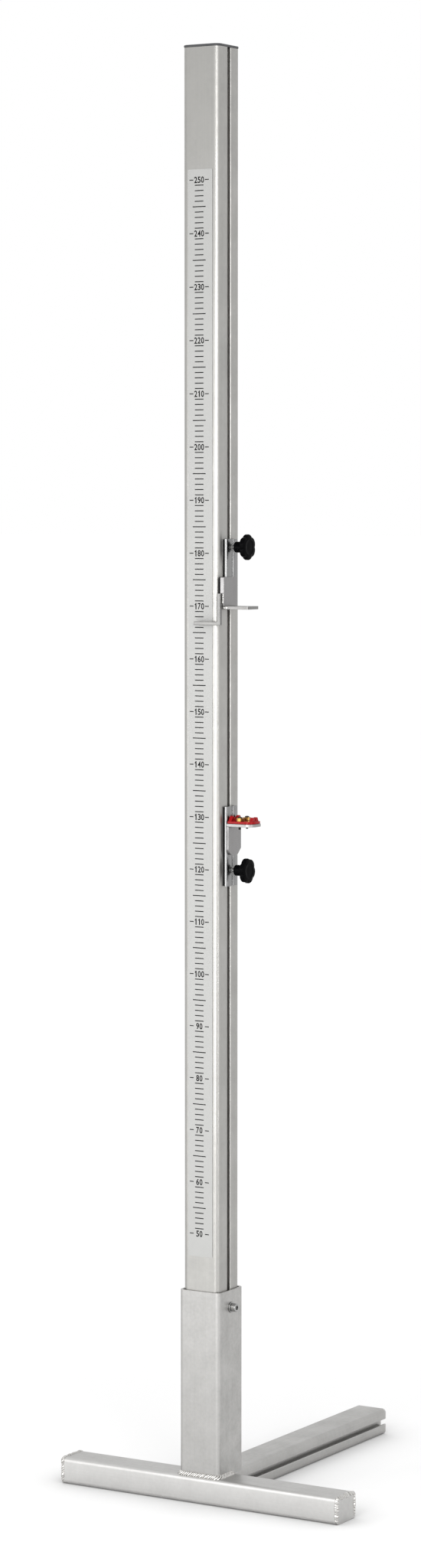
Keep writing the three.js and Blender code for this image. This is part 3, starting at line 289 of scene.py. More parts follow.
def make_mesh(name: str, points: Array, faces: Sequence[Array]) -> Piece:
    """Puts points and faces into a new object and turns its faces outwards.

    The volume under the surface is the sum over all corner triangles of a . (b x c) / 6. Where it is
    negative, the faces run the wrong way round and each one is reversed.

    Args:
        name: name of the piece.
        points: (n, 3) array of places.
        faces: one (m, k) array of indices for each count k of corners.

    Returns:
        The object, linked to the scene.
    """
    volume = 0.0
    for group in faces:
        corner = points[group]
        for k in range(1, group.shape[1] - 1):
            volume += np.einsum("ij,ij->", corner[:, 0], np.cross(corner[:, k], corner[:, k + 1]))
    if volume < 0.0:
        faces = [group[:, ::-1] for group in faces]
    loops = np.concatenate([group.ravel() for group in faces]).astype(np.int32)
    counts = np.concatenate([np.full(len(group), group.shape[1]) for group in faces]).astype(np.int32)
    starts = np.concatenate([[0], np.cumsum(counts)[:-1]]).astype(np.int32)
    mesh = bpy.data.meshes.new(name)
    mesh.vertices.add(len(points))
    mesh.vertices.foreach_set("co", np.ascontiguousarray(points, np.float32).ravel())
    mesh.loops.add(len(loops))
    mesh.loops.foreach_set("vertex_index", loops)
    mesh.polygons.add(len(counts))
    mesh.polygons.foreach_set("loop_start", starts)
    mesh.polygons.foreach_set("loop_total", counts)
    mesh.polygons.foreach_set("use_smooth", np.ones(len(counts), bool))
    mesh.update(calc_edges=True)
    mesh.validate()
    mesh.set_sharp_from_angle(angle=SHARP_ANGLE)
    piece = bpy.data.objects.new(name, mesh)
    bpy.context.scene.collection.objects.link(piece)
    return piece


def skin(name: str, rings: Array, closed: bool = False) -> Piece:
    """Joins rings of points into one closed surface.

    Point (i, j) is the j-th point of ring i. Each face takes (i, j), (i, j+1), (i+1, j+1), (i+1, j).
    The first and last ring are each covered by one flat face, or joined to each other.

    Args:
        name: name of the piece.
        rings: (m, n, 3) array.
        closed: True joins the last ring to the first.

    Returns:
        The new object.
    """
    count, width = rings.shape[:2]
    index = np.arange(count * width).reshape(count, width)
    across = np.roll(index, -1, axis=1)
    if closed:
        after, across_after = np.roll(index, -1, axis=0), np.roll(across, -1, axis=0)
        quads = np.stack([index, across, across_after, after], axis=-1).reshape(-1, 4)
        return make_mesh(name, rings.reshape(-1, 3), [quads])
    quads = np.stack([index[:-1], across[:-1], across[1:], index[1:]], axis=-1).reshape(-1, 4)
    ends = np.stack([index[0, ::-1], index[-1]])
    return make_mesh(name, rings.reshape(-1, 3), [quads, ends])


def lay(outline: Array, axis: Axis, places: Sequence[float]) -> Array:
    """Repeats a flat outline at several places along an axis.

    Args:
        outline: (n, 2) points in the two other axes, in the order x, y, z.
        axis: the axis across the outline.
        places: where each copy lies along the axis.

    Returns:
        (len(places), n, 3) array of rings.
    """
    rings = np.empty((len(places), len(outline), 3))
    rings[..., axis.others] = outline
    rings[..., axis.value] = np.asarray(places)[:, None]
    return rings


def extrusion(name: str, outline: Array, axis: Axis, ends: Sequence[float]) -> Piece:
    """Solid with the same outline all along an axis."""
    return skin(name, lay(outline, axis, ends))


def tube(name: str, outer: Array, inner: Array, axis: Axis, ends: Sequence[float]) -> Piece:
    """Hollow extrusion: its rings run up the outer wall and back down the inner wall.

    Args:
        name: name of the piece.
        outer: (n, 2) outline of the outer wall.
        inner: (n, 2) outline of the inner wall, point for point beside the outer one.
        axis: the extrusion's axis.
        ends: its lower and upper end along the axis.

    Returns:
        The new object.
    """
    rings = np.concatenate([lay(outer, axis, ends), lay(inner, axis, ends[::-1])])
    return skin(name, rings, closed=True)


def box_tube(name: str, box: Box, axis: Axis, corner: float, wall: float, steps: int = 10) -> Piece:
    """Tube as large as a box. The wall leaves its inner corners that much less radius.

    Args:
        name: name of the piece.
        box: the box.
        axis: the tube's axis.
        corner: outer corner radius.
        wall: wall thickness.
        steps: points in each corner.

    Returns:
        The new object.
    """
    inner = box.outline(axis, corner - wall, steps, wall)
    return tube(name, box.outline(axis, corner, steps), inner, axis, box.ends(axis))


def round_rings(places: Array, radii: Array, angle: Array, axis: Axis, centre: Array) -> Array:
    """Rings round an axis: centre + axis * place + radius (u cos a + v sin a).

    Args:
        places: (m, 1) or (m, n) places along the axis.
        radii: (m, 1) or (m, n) radii.
        angle: (n,) angles round the axis.
        axis: the axis.
        centre: a point on it, from which the places are counted.

    Returns:
        (m, n, 3) array.
    """
    rings = np.empty((len(places), len(angle), 3))
    rings[..., axis.value] = places
    rings[..., axis.others[0]] = radii * np.cos(angle)
    rings[..., axis.others[1]] = radii * np.sin(angle)
    return rings + np.asarray(centre)


def turned(name: str, profile: Sequence[tuple[float, float]], axis: Axis, centre: Array,
           steps: int = 48, closed: bool = False) -> Piece:
    """Turned part: a profile of (place along the axis, radius) carried round the axis.

    Args:
        name: name of the piece.
        profile: pairs of place and radius, from end to end.
        axis: the axis of turning.
        centre: a point on the axis; the profile's places are counted from it.
        steps: points in a full turn.
        closed: True joins the last row to the first, for a part with a bore.

    Returns:
        The new object.
    """
    rows = np.asarray(profile, float)
    angle = np.arange(steps) * FULL_TURN / steps
    return skin(name, round_rings(rows[:, :1], rows[:, 1:], angle, axis, centre), closed=closed)


def soften(piece: Piece, width: float, segments: int = 2) -> None:
    """Rounds the sharp edges of a piece with a bevel modifier.

    Args:
        piece: the piece.
        width: width of the rounded edge.
        segments: faces across it.
    """
    bevel = piece.modifiers.new("soft_edges", "BEVEL")
    bevel.width = width
    bevel.segments = segments
    bevel.limit_method = "ANGLE"
    bevel.angle_limit = SHARP_ANGLE
    bevel.harden_normals = True


def carve(piece: Piece, cutter: Piece) -> None:
    """Cuts one solid out of another and throws the cutter away.

    Args:
        piece: the solid to keep.
        cutter: the solid to cut with.
    """
    cut = piece.modifiers.new("cut", "BOOLEAN")
    cut.operation = "DIFFERENCE"
    cut.solver = "EXACT"
    cut.object = cutter
    graph = bpy.context.evaluated_depsgraph_get()
    result = bpy.data.meshes.new_from_object(piece.evaluated_get(graph))
    piece.modifiers.remove(cut)
    piece.data = result
    result.set_sharp_from_angle(angle=SHARP_ANGLE)
    bpy.data.objects.remove(cutter)


@dataclass(frozen=True)
class Bead:
    """Weld bead: drops laid one over the other, each a crescent that leans along the seam."""

    size: float
    pitch: float = 4.9 * MM
    ripple: float = 0.2
    lean: float = 1.1
    roundness: float = 1.5
    wander: float = 0.06
    flat: float = 1.0
    jitter: float = 0.25
    end_drop: float = 0.9
    sides: int = 32
    steps: int = 10

    def surface(self, name: str, path: Array, across: Array, up: Array, seed: int = 3) -> Piece:
        """Carries the bead along a path.

        Ring i belongs to the run s_i and to the drop phase u_i = frac(s_i / pitch + jitter * shift_i), with
        a random shift. Its point at turn t lies at the run s_i + lean * pitch * sin t, less near the ends,
        so a ring is a crescent. With the roundness q, the radius is
        size * (1 - ripple |2 u - 1|^3) / (|cos t|^q + |sin t|^q)^(1/q), times a random size from drop to
        drop, and it shrinks as a quarter ellipse towards both ends.

        Args:
            name: name of the piece.
            path: (k, 3) corners of the seam, close together where it bends.
            across: vector across the seam, or (k, 3) of them; its length scales the bead's width.
            up: unit vector away from the seam, or (k, 3) of them.
            seed: start of the random sizes.

        Returns:
            The new object, with a point attribute that is one in the valleys between the drops, where the
            weld finish paints shade.
        """
        legs = np.linalg.norm(np.diff(path, axis=0), axis=1)
        reach = np.concatenate([[0.0], np.cumsum(legs)])
        length = reach[-1]
        count = max(8, int(round(length / self.pitch * self.steps)))
        turn = np.arange(self.sides) * FULL_TURN / self.sides
        ring_run = np.linspace(0.0, length, count)[:, None]
        run = np.clip(ring_run + self.lean * self.pitch * np.sin(turn), 0.0, length)
        fade = np.clip(np.minimum(ring_run, length - ring_run) / (self.lean * self.pitch + MM), 0.0, 1.0)
        run = ring_run + (run - ring_run) * fade

        def along(values: Array) -> Array:
            """Values of the path's corners, read at each point's run."""
            rows = np.broadcast_to(values, path.shape)
            return np.stack([np.interp(run, reach, rows[:, i]) for i in range(3)], axis=-1)

        random = np.random.default_rng(seed)
        drops = random.uniform(-1.0, 1.0, (2, int(length / self.pitch) + 3))
        drift, shift = (np.interp(ring_run / self.pitch, np.arange(drops.shape[1]), row) for row in drops)
        valley = np.abs(2.0 * ((ring_run / self.pitch + self.jitter * shift) % 1.0) - 1.0) ** 3
        power = self.roundness
        section = (np.abs(np.cos(turn)) ** power + np.abs(np.sin(turn)) ** power) ** (-1.0 / power)
        ending = np.clip(np.minimum(run, length - run) / self.pitch, 0.0, 1.0)
        taper = np.sqrt(1.0 - self.end_drop * (1.0 - ending) ** 2) * (1.0 + self.wander * drift)
        radius = self.size * (1.0 - self.ripple * valley) * section * taper
        points = along(path) + along(across) * (radius * np.cos(turn))[..., None]
        points = points + along(up) * (radius * np.sin(turn))[..., None] * self.flat
        piece = skin(name, points)
        # Valley share, which the weld finish turns into painted shade.
        soot = piece.data.attributes.new("soot", "FLOAT", "POINT")
        soot.data.foreach_set("value", np.repeat(valley, self.sides).astype(np.float32))
        return piece


# Finishes


class Graph:
    """Node tree of a material or a world, with short calls that add and join nodes."""

    def __init__(self, owner: bpy.types.ID, output: str = "ShaderNodeOutputMaterial") -> None:
        """Empties the owner's tree and adds its output node.

        Args:
            owner: material or world.
            output: type of its output node.
        """
        owner.use_nodes = True
        self.tree = owner.node_tree
        self.tree.nodes.clear()
        self.surface = self.add(output).inputs["Surface"]

    def put(self, value: object, target: Socket) -> None:
        """Links a socket to an input, or sets the input to a plain value.

        Args:
            value: socket or value.
            target: the input.
        """
        if isinstance(value, Socket):
            self.tree.links.new(value, target)
        else:
            target.default_value = value

    def add(self, kind: str, **settings: object) -> bpy.types.Node:
        """Adds a node.

        Args:
            kind: type of the node.
            settings: its properties, or inputs where it has no such property; an underscore stands
                for a space.

        Returns:
            The node.
        """
        node = self.tree.nodes.new(kind)
        for key, value in settings.items():
            if hasattr(node, key):
                setattr(node, key, value)
            else:
                self.put(value, node.inputs[key.replace("_", " ")])
        return node

    def ranged(self, value: Socket, low: float, high: float, start: float = 0.3, end: float = 0.7) -> Socket:
        """Maps start..end of a value to low..high."""
        return self.add("ShaderNodeMapRange", From_Min=start, From_Max=end, To_Min=low, To_Max=high,
                        Value=value).outputs["Result"]

    def blend(self, factor: Socket, first: Colour, second: Colour) -> Socket:
        """Colour between two colours.

        Args:
            factor: zero for the first colour, one for the second.
            first: first colour.
            second: second colour.

        Returns:
            The colour.
        """
        node = self.add("ShaderNodeMix", data_type="RGBA")
        for value, target in ((factor, 0), ((*first, 1.0), 6), ((*second, 1.0), 7)):
            self.put(value, node.inputs[target])
        return node.outputs[2]

    def math(self, operation: str, first: object, second: object) -> Socket:
        """Arithmetic on two sockets or numbers.

        Args:
            operation: what is done with them.
            first: socket or number.
            second: socket or number.

        Returns:
            The result.
        """
        node = self.add("ShaderNodeMath", operation=operation)
        self.put(first, node.inputs[0])
        self.put(second, node.inputs[1])
        return node.outputs[0]

    def seen_rays(self) -> Socket:
        """Tells the rays that show the scene from those that light it.

        Returns:
            One for camera, glossy and transmission rays, and zero for the others.
        """
        path = self.add("ShaderNodeLightPath").outputs
        seen = self.math("MAXIMUM", path["Is Camera Ray"], path["Is Glossy Ray"])
        return self.math("MAXIMUM", seen, path["Is Transmission Ray"])


class PieceGraph(Graph):
    """Node tree of a finish: a principled shader whose patterns follow object coordinates."""

    def __init__(self, name: str) -> None:
        """Starts a material with its shader.

        Args:
            name: name of the material.
        """
        self.material = bpy.data.materials.new(name)
        super().__init__(self.material)
        self.shader = self.add("ShaderNodeBsdfPrincipled")
        self.put(self.shader.outputs["BSDF"], self.surface)
        self.place = self.add("ShaderNodeTexCoord").outputs["Object"]

    def noise(self, scale: float, detail: float = 3.0, drawn: Axis | None = None,
              along: float = 1.0) -> Socket:
        """Noise in object coordinates.

        Args:
            scale: units of the noise in one metre.
            detail: layers of finer noise.
            drawn: axis along which the noise is drawn out.
            along: units in one metre along that axis.

        Returns:
            The noise, from zero to one.
        """
        scales = [along if axis is drawn else scale for axis in Axis]
        place = self.add("ShaderNodeMapping", Scale=scales, Vector=self.place).outputs["Vector"]
        return self.add("ShaderNodeTexNoise", Scale=1.0, Detail=detail, Vector=place).outputs["Fac"]

    def bump(self, height: Socket, distance: float, strength: float) -> None:
        """Gives the surface a relief of a height in metres."""
        node = self.add("ShaderNodeBump", Distance=distance, Strength=strength, Height=height)
        self.put(node.outputs["Normal"], self.shader.inputs["Normal"])

    def feed(self, **sockets: object) -> None:
        """Sets or links inputs of the shader.

        Args:
            sockets: values of the inputs; an underscore in a name stands for a space.
        """
        for key, value in sockets.items():
            value = (*value, 1.0) if isinstance(value, tuple) else value
            self.put(value, self.shader.inputs[key.replace("_", " ")])


@dataclass(frozen=True)
class Finish:
    """Look of a surface, and the record's slot that it stands for."""

    name: str
    slot: Slot
    colour: Colour
    roughness: float

    def toned(self, share: float) -> Colour:
        """The colour made lighter or darker by a share."""
        return tuple(min(1.0, c * (1.0 + share)) for c in self.colour)

    def paint(self, graph: PieceGraph) -> None:
        """Adds the nodes of this kind of finish."""
        raise NotImplementedError

    @cached_property
    def material(self) -> bpy.types.Material:
        """The material, made when the first piece asks for it.

        Returns:
            The same material each time.
        """
        graph = PieceGraph(self.name)
        self.paint(graph)
        return graph.material


@dataclass(frozen=True)
class DrawnMetal(Finish):
    """Drawn or rolled metal: lines along one axis, a cloudy bloom and fine specks."""

    drawn: Axis = Axis.Z
    lines: float = 0.018
    cloud: float = 0.05
    line_count: float = 420.0
    band_count: float = 70.0
    line_along: float = 2.0
    band_along: float = 0.7
    bloom: float = 16.0
    speck_ratio: float = 7.0
    contrast: float = 2.5
    shade: float = 0.2
    polish: float = 0.8
    edge: float = 1.0
    relief: float = 0.02 * MM
    relief_strength: float = 0.35

    def paint(self, graph: PieceGraph) -> None:
        """Lets colour and roughness follow the drawn lines and the bloom, and the relief the lines alone.

        Args:
            graph: the finish's tree.
        """
        line = graph.noise(self.line_count, 2.0, self.drawn, self.line_along)
        band = graph.noise(self.band_count, 2.0, self.drawn, self.band_along)
        cloud = graph.noise(self.bloom, 5.0)
        speck = graph.noise(self.bloom * self.speck_ratio)
        clouds = graph.math("ADD", graph.ranged(cloud, -self.cloud, self.cloud),
                            graph.ranged(speck, -self.cloud / 2.0, self.cloud / 2.0))
        lines = graph.math("ADD", graph.ranged(line, -self.lines, self.lines),
                           graph.ranged(band, -self.lines, self.lines))
        tone = graph.math("ADD", lines, clouds)
        factor = graph.math("ADD", graph.math("MULTIPLY", tone, self.contrast), 0.5)
        graph.feed(
            Metallic=1.0,
            Base_Color=graph.blend(factor, self.toned(-self.shade), self.toned(self.shade)),
            Roughness=graph.math("SUBTRACT", self.roughness, graph.math("MULTIPLY", tone, self.polish)),
            Specular_Tint=(self.edge, self.edge, self.edge),
        )
        graph.bump(line, self.relief, self.relief_strength)


@dataclass(frozen=True)
class CastMetal(Finish):
    """Turned and plated, or cast, metal, darker and duller in cloudy patches."""

    grain: float = 700.0
    patch_ratio: float = 8.0
    # Share by which the cloudy patches turn darker or lighter at random.
    soot: float = 0.12
    dull: float = 0.08
    bright: float = 0.05
    relief: float = 0.05 * MM
    relief_strength: float = 0.5

    def paint(self, graph: PieceGraph) -> None:
        """Adds the patches and the grain.

        Args:
            graph: the finish's tree.
        """
        patch = graph.noise(self.grain / self.patch_ratio)
        colour = graph.blend(graph.ranged(patch, 0.0, 1.0), self.toned(-self.soot), self.toned(self.soot))
        graph.feed(Metallic=1.0, Base_Color=colour,
                   Roughness=graph.ranged(patch, self.roughness + self.dull, self.roughness - self.bright))
        graph.bump(graph.noise(self.grain), self.relief, self.relief_strength)


@dataclass(frozen=True)
class WeldMetal(Finish):
    """Weld metal: bright crests, painted shade (a dark colour) in the valleys between the drops, and a fine
    grain.
    """

    # Dark colour painted into the valleys between the drops as shade.
    valley: Colour = (0.09, 0.085, 0.08)
    grain: float = 900.0
    patch_ratio: float = 6.0
    broken: tuple[float, float] = (0.55, 1.1)
    dull: float = 0.3
    relief: float = 0.05 * MM
    relief_strength: float = 0.5

    def paint(self, graph: PieceGraph) -> None:
        """Adds the painted shade in the valleys, which noise breaks up and which also dulls the metal.

        Args:
            graph: the finish's tree.
        """
        patch = graph.noise(self.grain / self.patch_ratio)
        # Painted shade: the bead's valley attribute blends the crest colour towards the dark valley colour.
        soot = graph.add("ShaderNodeAttribute", attribute_name="soot").outputs["Fac"]
        broken = graph.math("MULTIPLY", soot, graph.ranged(patch, *self.broken))
        rough = graph.math("ADD", graph.math("MULTIPLY", broken, self.dull), self.roughness)
        graph.feed(Metallic=1.0, Roughness=rough, Base_Color=graph.blend(broken, self.colour, self.valley))
        graph.bump(graph.noise(self.grain), self.relief, self.relief_strength)


@dataclass(frozen=True)
class Moulded(Finish):
    """Moulded plastic: even colour, a little mottled, with a fine skin and, where set, a clear gloss."""

    gloss: float = 0.0
    gloss_roughness: float = 0.12
    grain: float = 1500.0
    patch_ratio: float = 40.0
    mottle: float = 0.08
    shine: float = 0.5
    bright: float = 0.03
    dull: float = 0.05
    relief: float = 0.02 * MM
    relief_strength: float = 0.4

    def paint(self, graph: PieceGraph) -> None:
        """Adds the mottle and the skin.

        Args:
            graph: the finish's tree.
        """
        patch = graph.noise(self.grain / self.patch_ratio)
        colour = graph.blend(graph.ranged(patch, 0.0, 1.0), self.toned(-self.mottle), self.toned(self.mottle))
        graph.feed(Base_Color=colour, Specular_IOR_Level=self.shine, Coat_Weight=self.gloss,
                   Coat_Roughness=self.gloss_roughness,
                   Roughness=graph.ranged(patch, self.roughness - self.bright, self.roughness + self.dull))
        graph.bump(graph.noise(self.grain, 2.0), self.relief, self.relief_strength)


BAR = DrawnMetal("floor_tube_aluminium", Slot.BASE, (0.56, 0.555, 0.545), 0.42, Axis.X, edge=0.75)
LEG = DrawnMetal("rear_leg_aluminium", Slot.BASE, (0.42, 0.415, 0.405), 0.42, Axis.Y)
SLEEVE = DrawnMetal("sleeve_aluminium", Slot.BASE, (0.42, 0.415, 0.405), 0.40, cloud=0.08, bloom=22.0)
POST = DrawnMetal("post_aluminium", Slot.POST, (0.385, 0.38, 0.365), 0.38)
RAIL = DrawnMetal("rail_aluminium", Slot.BRACKET, (0.25, 0.25, 0.25), 0.26, cloud=0.03)
PLATE = DrawnMetal("plate_aluminium", Slot.BRACKET, (0.26, 0.255, 0.255), 0.28, cloud=0.03)
SHELF = DrawnMetal("shelf_aluminium", Slot.BRACKET, (0.34, 0.335, 0.33), 0.34, Axis.X, cloud=0.03)
REST = DrawnMetal("rest_aluminium", Slot.BRACKET, (0.24, 0.236, 0.232), 0.34, Axis.X, cloud=0.03)
POINTER = DrawnMetal("pointer_aluminium", Slot.BRACKET, (0.215, 0.213, 0.208), 0.34, Axis.X, cloud=0.03)
WELD = WeldMetal("weld_metal", Slot.WELD, (0.62, 0.61, 0.59), 0.24)
STEEL = CastMetal("plated_steel", Slot.STEEL, (0.36, 0.36, 0.355), 0.28, relief=0.01 * MM)
DARK_STEEL = CastMetal("blackened_steel", Slot.DARK_STEEL, (0.04, 0.034, 0.03), 0.30, relief=0.01 * MM)
BRASS = CastMetal("cam_brass", Slot.BRASS, (0.42, 0.25, 0.07), 0.30, relief=0.015 * MM)
FILM = Moulded("scale_film", Slot.FILM, (0.34, 0.34, 0.332), 0.42, mottle=0.015, relief=0.004 * MM)
INK = Moulded("scale_ink", Slot.FILM, (0.006, 0.006, 0.0065), 0.5, mottle=0.1, shine=0.08)
CAP = Moulded("cap_plastic", Slot.CAP, (0.04, 0.041, 0.044), 0.42)
KNOB = Moulded("knob_plastic", Slot.KNOB, (0.0015, 0.0015, 0.0018), 0.16, shine=0.02)
LINER = Moulded("liner_plastic", Slot.LINER, (0.002, 0.002, 0.0025), 0.5, shine=0.03)
CLEAT = Moulded("cleat_plastic", Slot.CLEAT, (0.27, 0.002, 0.004), 0.25, gloss=0.05, shine=0.16)


# Standard


class Standard:
    """The standard being dressed: it says which body each piece rides on and hides the CAD nodes that the
    piece replaces.
    """

    def __init__(self) -> None:
        """Starts with an empty list of pieces."""
        self.pieces: list[str] = []

    def dress(self, piece: Piece, finish: Finish, body: Body, *nodes: str) -> None:
        """Gives a new piece its finish, its body and the CAD nodes that it stands for.

        Args:
            piece: the new piece.
            finish: its finish, whose material the piece gets.
            body: the body that it moves with.
            nodes: CAD nodes that it hides.
        """
        piece.data.materials.clear()
        piece.data.materials.append(finish.material)
        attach(piece, body.value)
        for node in nodes:
            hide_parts(node)
        self.pieces.append(piece.name)
        LOG.info("piece %s rides on %s", piece.name, body.value)

    def coat(self, node: str, finish: Finish) -> None:
        """Gives a CAD node that stays a better material.

        Args:
            node: name of the node.
            finish: its new finish.
        """
        for slot in FRAME["nodes"][node].material_slots:
            slot.material = finish.material
        LOG.info("node %s keeps its shape", node)

    def extrude(self, name: str, node: str, outline: Array, axis: Axis, finish: Finish, soft: float,
                segments: int = 2, body: Body = Body.FRAME) -> None:
        """Extrudes an outline from end to end of a CAD node, which the piece replaces.

        Args:
            name: name of the piece.
            node: the CAD node.
            outline: (n, 2) points across the axis.
            axis: the axis of the extrusion.
            finish: finish of the piece.
            soft: width of its rounded edges.
            segments: faces across them.
            body: the body that it moves with.
        """
        piece = extrusion(name, outline, axis, Box.of(node).ends(axis))
        soften(piece, soft, segments)
        self.dress(piece, finish, body, node)

    def plate(self, name: str, node: str, axis: Axis, finish: Finish, corner: float, soft: float,
              segments: int = 2, body: Body = Body.FRAME, steps: int = 10) -> None:
        """Flat plate with round corners, as large as the CAD node that it replaces.

        Args:
            name: name of the piece.
            node: the CAD node.
            axis: the axis across the plate.
            finish: finish of the piece.
            corner: corner radius.
            soft: width of its rounded edges.
            segments: faces across them.
            body: the body that it moves with.
            steps: points in each corner.
        """
        outline = Box.of(node).outline(axis, corner, steps)
        self.extrude(name, node, outline, axis, finish, soft, segments, body)

    def weld(self, name: str, node: str, bead: Bead, path: Array, across: Array, up: Array,
             seed: int = 3, body: Body = Body.FRAME) -> None:
        """Lays a weld bead along a path.

        Args:
            name: name of the piece.
            node: the CAD node that it replaces.
            bead: the bead.
            path: (k, 3) corners of the seam.
            across: vector across the seam, or (k, 3) of them; its length scales the bead's width.
            up: unit vector away from the seam, or (k, 3) of them.
            seed: start of the bead's random sizes.
            body: the body that it moves with.
        """
        self.dress(bead.surface(name, path, across, up, seed), WELD, body, node)

    def straight_weld(self, name: str, node: str, bead: Bead, axis: Axis, through: Sequence[float],
                      across: Array, up: Array, seed: int = 3, body: Body = Body.FRAME) -> None:
        """Lays a weld bead along an axis, from end to end of the CAD node that it replaces.

        Args:
            name: name of the piece.
            node: the CAD node.
            bead: the bead.
            axis: axis of the seam.
            through: a point on the seam.
            across: unit vector across the seam.
            up: unit vector away from the seam.
            seed: start of the bead's random sizes.
            body: the body that it moves with.
        """
        path = np.tile(np.asarray(through, float), (2, 1))
        path[:, axis.value] = Box.of(node).ends(axis)
        self.weld(name, node, bead, path, across, up, seed, body)


# Base


@dataclass
class Base:
    """Cross bar and rear leg on the floor, with their end plates and weld beads."""

    standard: Standard
    corner: float = 8.0 * MM
    wall: float = 4.0 * MM
    groove: Groove = Groove(10.0 * MM, 3.5 * MM, 18.0 * MM, 8.0 * MM, 3.0 * MM, 2.0 * MM)
    leg_edge: float = 0.5 * MM
    cover_edge: float = 0.6 * MM
    plate_edge: float = 0.9 * MM
    seam_inset: float = 2.0 * MM
    seam_bead: Bead = Bead(4.5 * MM, 5.2 * MM, ripple=0.15, lean=0.3, roundness=2.0, wander=0.26, flat=0.68)
    corner_bead: Bead = Bead(5.0 * MM)
    seam_seed: int = 5
    corner_seed: int = 11

    def build(self) -> None:
        """Makes the two tubes, the three end plates and the beads between them."""
        tube_piece = box_tube("cross_bar_tube", Box.of("cross_bar"), Axis.X, self.corner, self.wall)
        self.standard.dress(tube_piece, BAR, Body.FRAME, "cross_bar")
        self.rear_leg()
        for side, sign in (("left", -1), ("right", 1)):
            self.standard.plate(f"cross_bar_cover_{side}", f"cross_bar_end_plate_{side}", Axis.X, BAR,
                                self.corner, self.plate_edge, 3)
            self.end_bead(side, sign)
            self.leg_bead(side, sign)

    def rear_leg(self) -> None:
        """Grooved tube along y, and the plate with the same outline that closes it."""
        box = Box.of("rear_leg")
        outer, inner = self.groove.walls(box, Axis.Y, self.corner, self.wall)
        leg = tube("rear_leg_tube", outer, inner, Axis.Y, box.ends(Axis.Y))
        soften(leg, self.leg_edge)
        self.standard.dress(leg, LEG, Body.FRAME, "rear_leg")
        self.standard.extrude("rear_leg_cover", "rear_leg_end_plate", outer, Axis.Y, BAR, self.cover_edge)

    def end_bead(self, side: str, sign: int) -> None:
        """Lumpy bead over the seam between the cross bar and its end plate, and over the plate's edge.

        The path is the bar's own outline from low on one side, over the top, to low on the other. The
        bead leans halfway towards the plate.

        Args:
            side: left or right.
            sign: -1 for left, 1 for right.
        """
        bar, plate = Box.of("cross_bar"), Box.of(f"cross_bar_end_plate_{side}")
        face = plate.high[0] if sign > 0 else plate.low[0]
        outline = bar.outline(Axis.X, self.corner - self.seam_inset, inset=self.seam_inset)
        quarter = len(outline) // 4
        walk = outline[quarter:3 * quarter]
        lowest = bar.low[2] + self.corner / 2.0
        walk = np.concatenate([[(walk[0, 0], lowest)], walk, [(walk[-1, 0], lowest)]])
        out = outward(walk, bar.middle[1:], bar.size[1:] / 2.0 - self.corner)
        path = np.insert(walk, 0, face - sign * self.seam_inset, axis=1)
        lean = math.sqrt(0.5)
        up = np.insert(lean * out, 0, sign * lean, axis=1)
        across = np.insert(-lean * out, 0, sign * lean, axis=1)
        self.standard.weld(f"cross_bar_bead_{side}", f"cross_bar_end_weld_{side}", self.seam_bead,
                           path, across, up, self.seam_seed + sign)

    def leg_bead(self, side: str, sign: int) -> None:
        """Upright bead in the corner between the rear leg and the cross bar.

        Args:
            side: left or right.
            sign: -1 for left, 1 for right.
        """
        leg = Box.of("rear_leg")
        x = leg.high[0] if sign > 0 else leg.low[0]
        self.standard.straight_weld(f"leg_bead_{side}", f"leg_weld_{side}", self.corner_bead, Axis.Z,
                                    (x, Box.of("cross_bar").high[1], 0.0), sign * Axis.X.unit, Axis.Y.unit,
                                    self.corner_seed + sign)


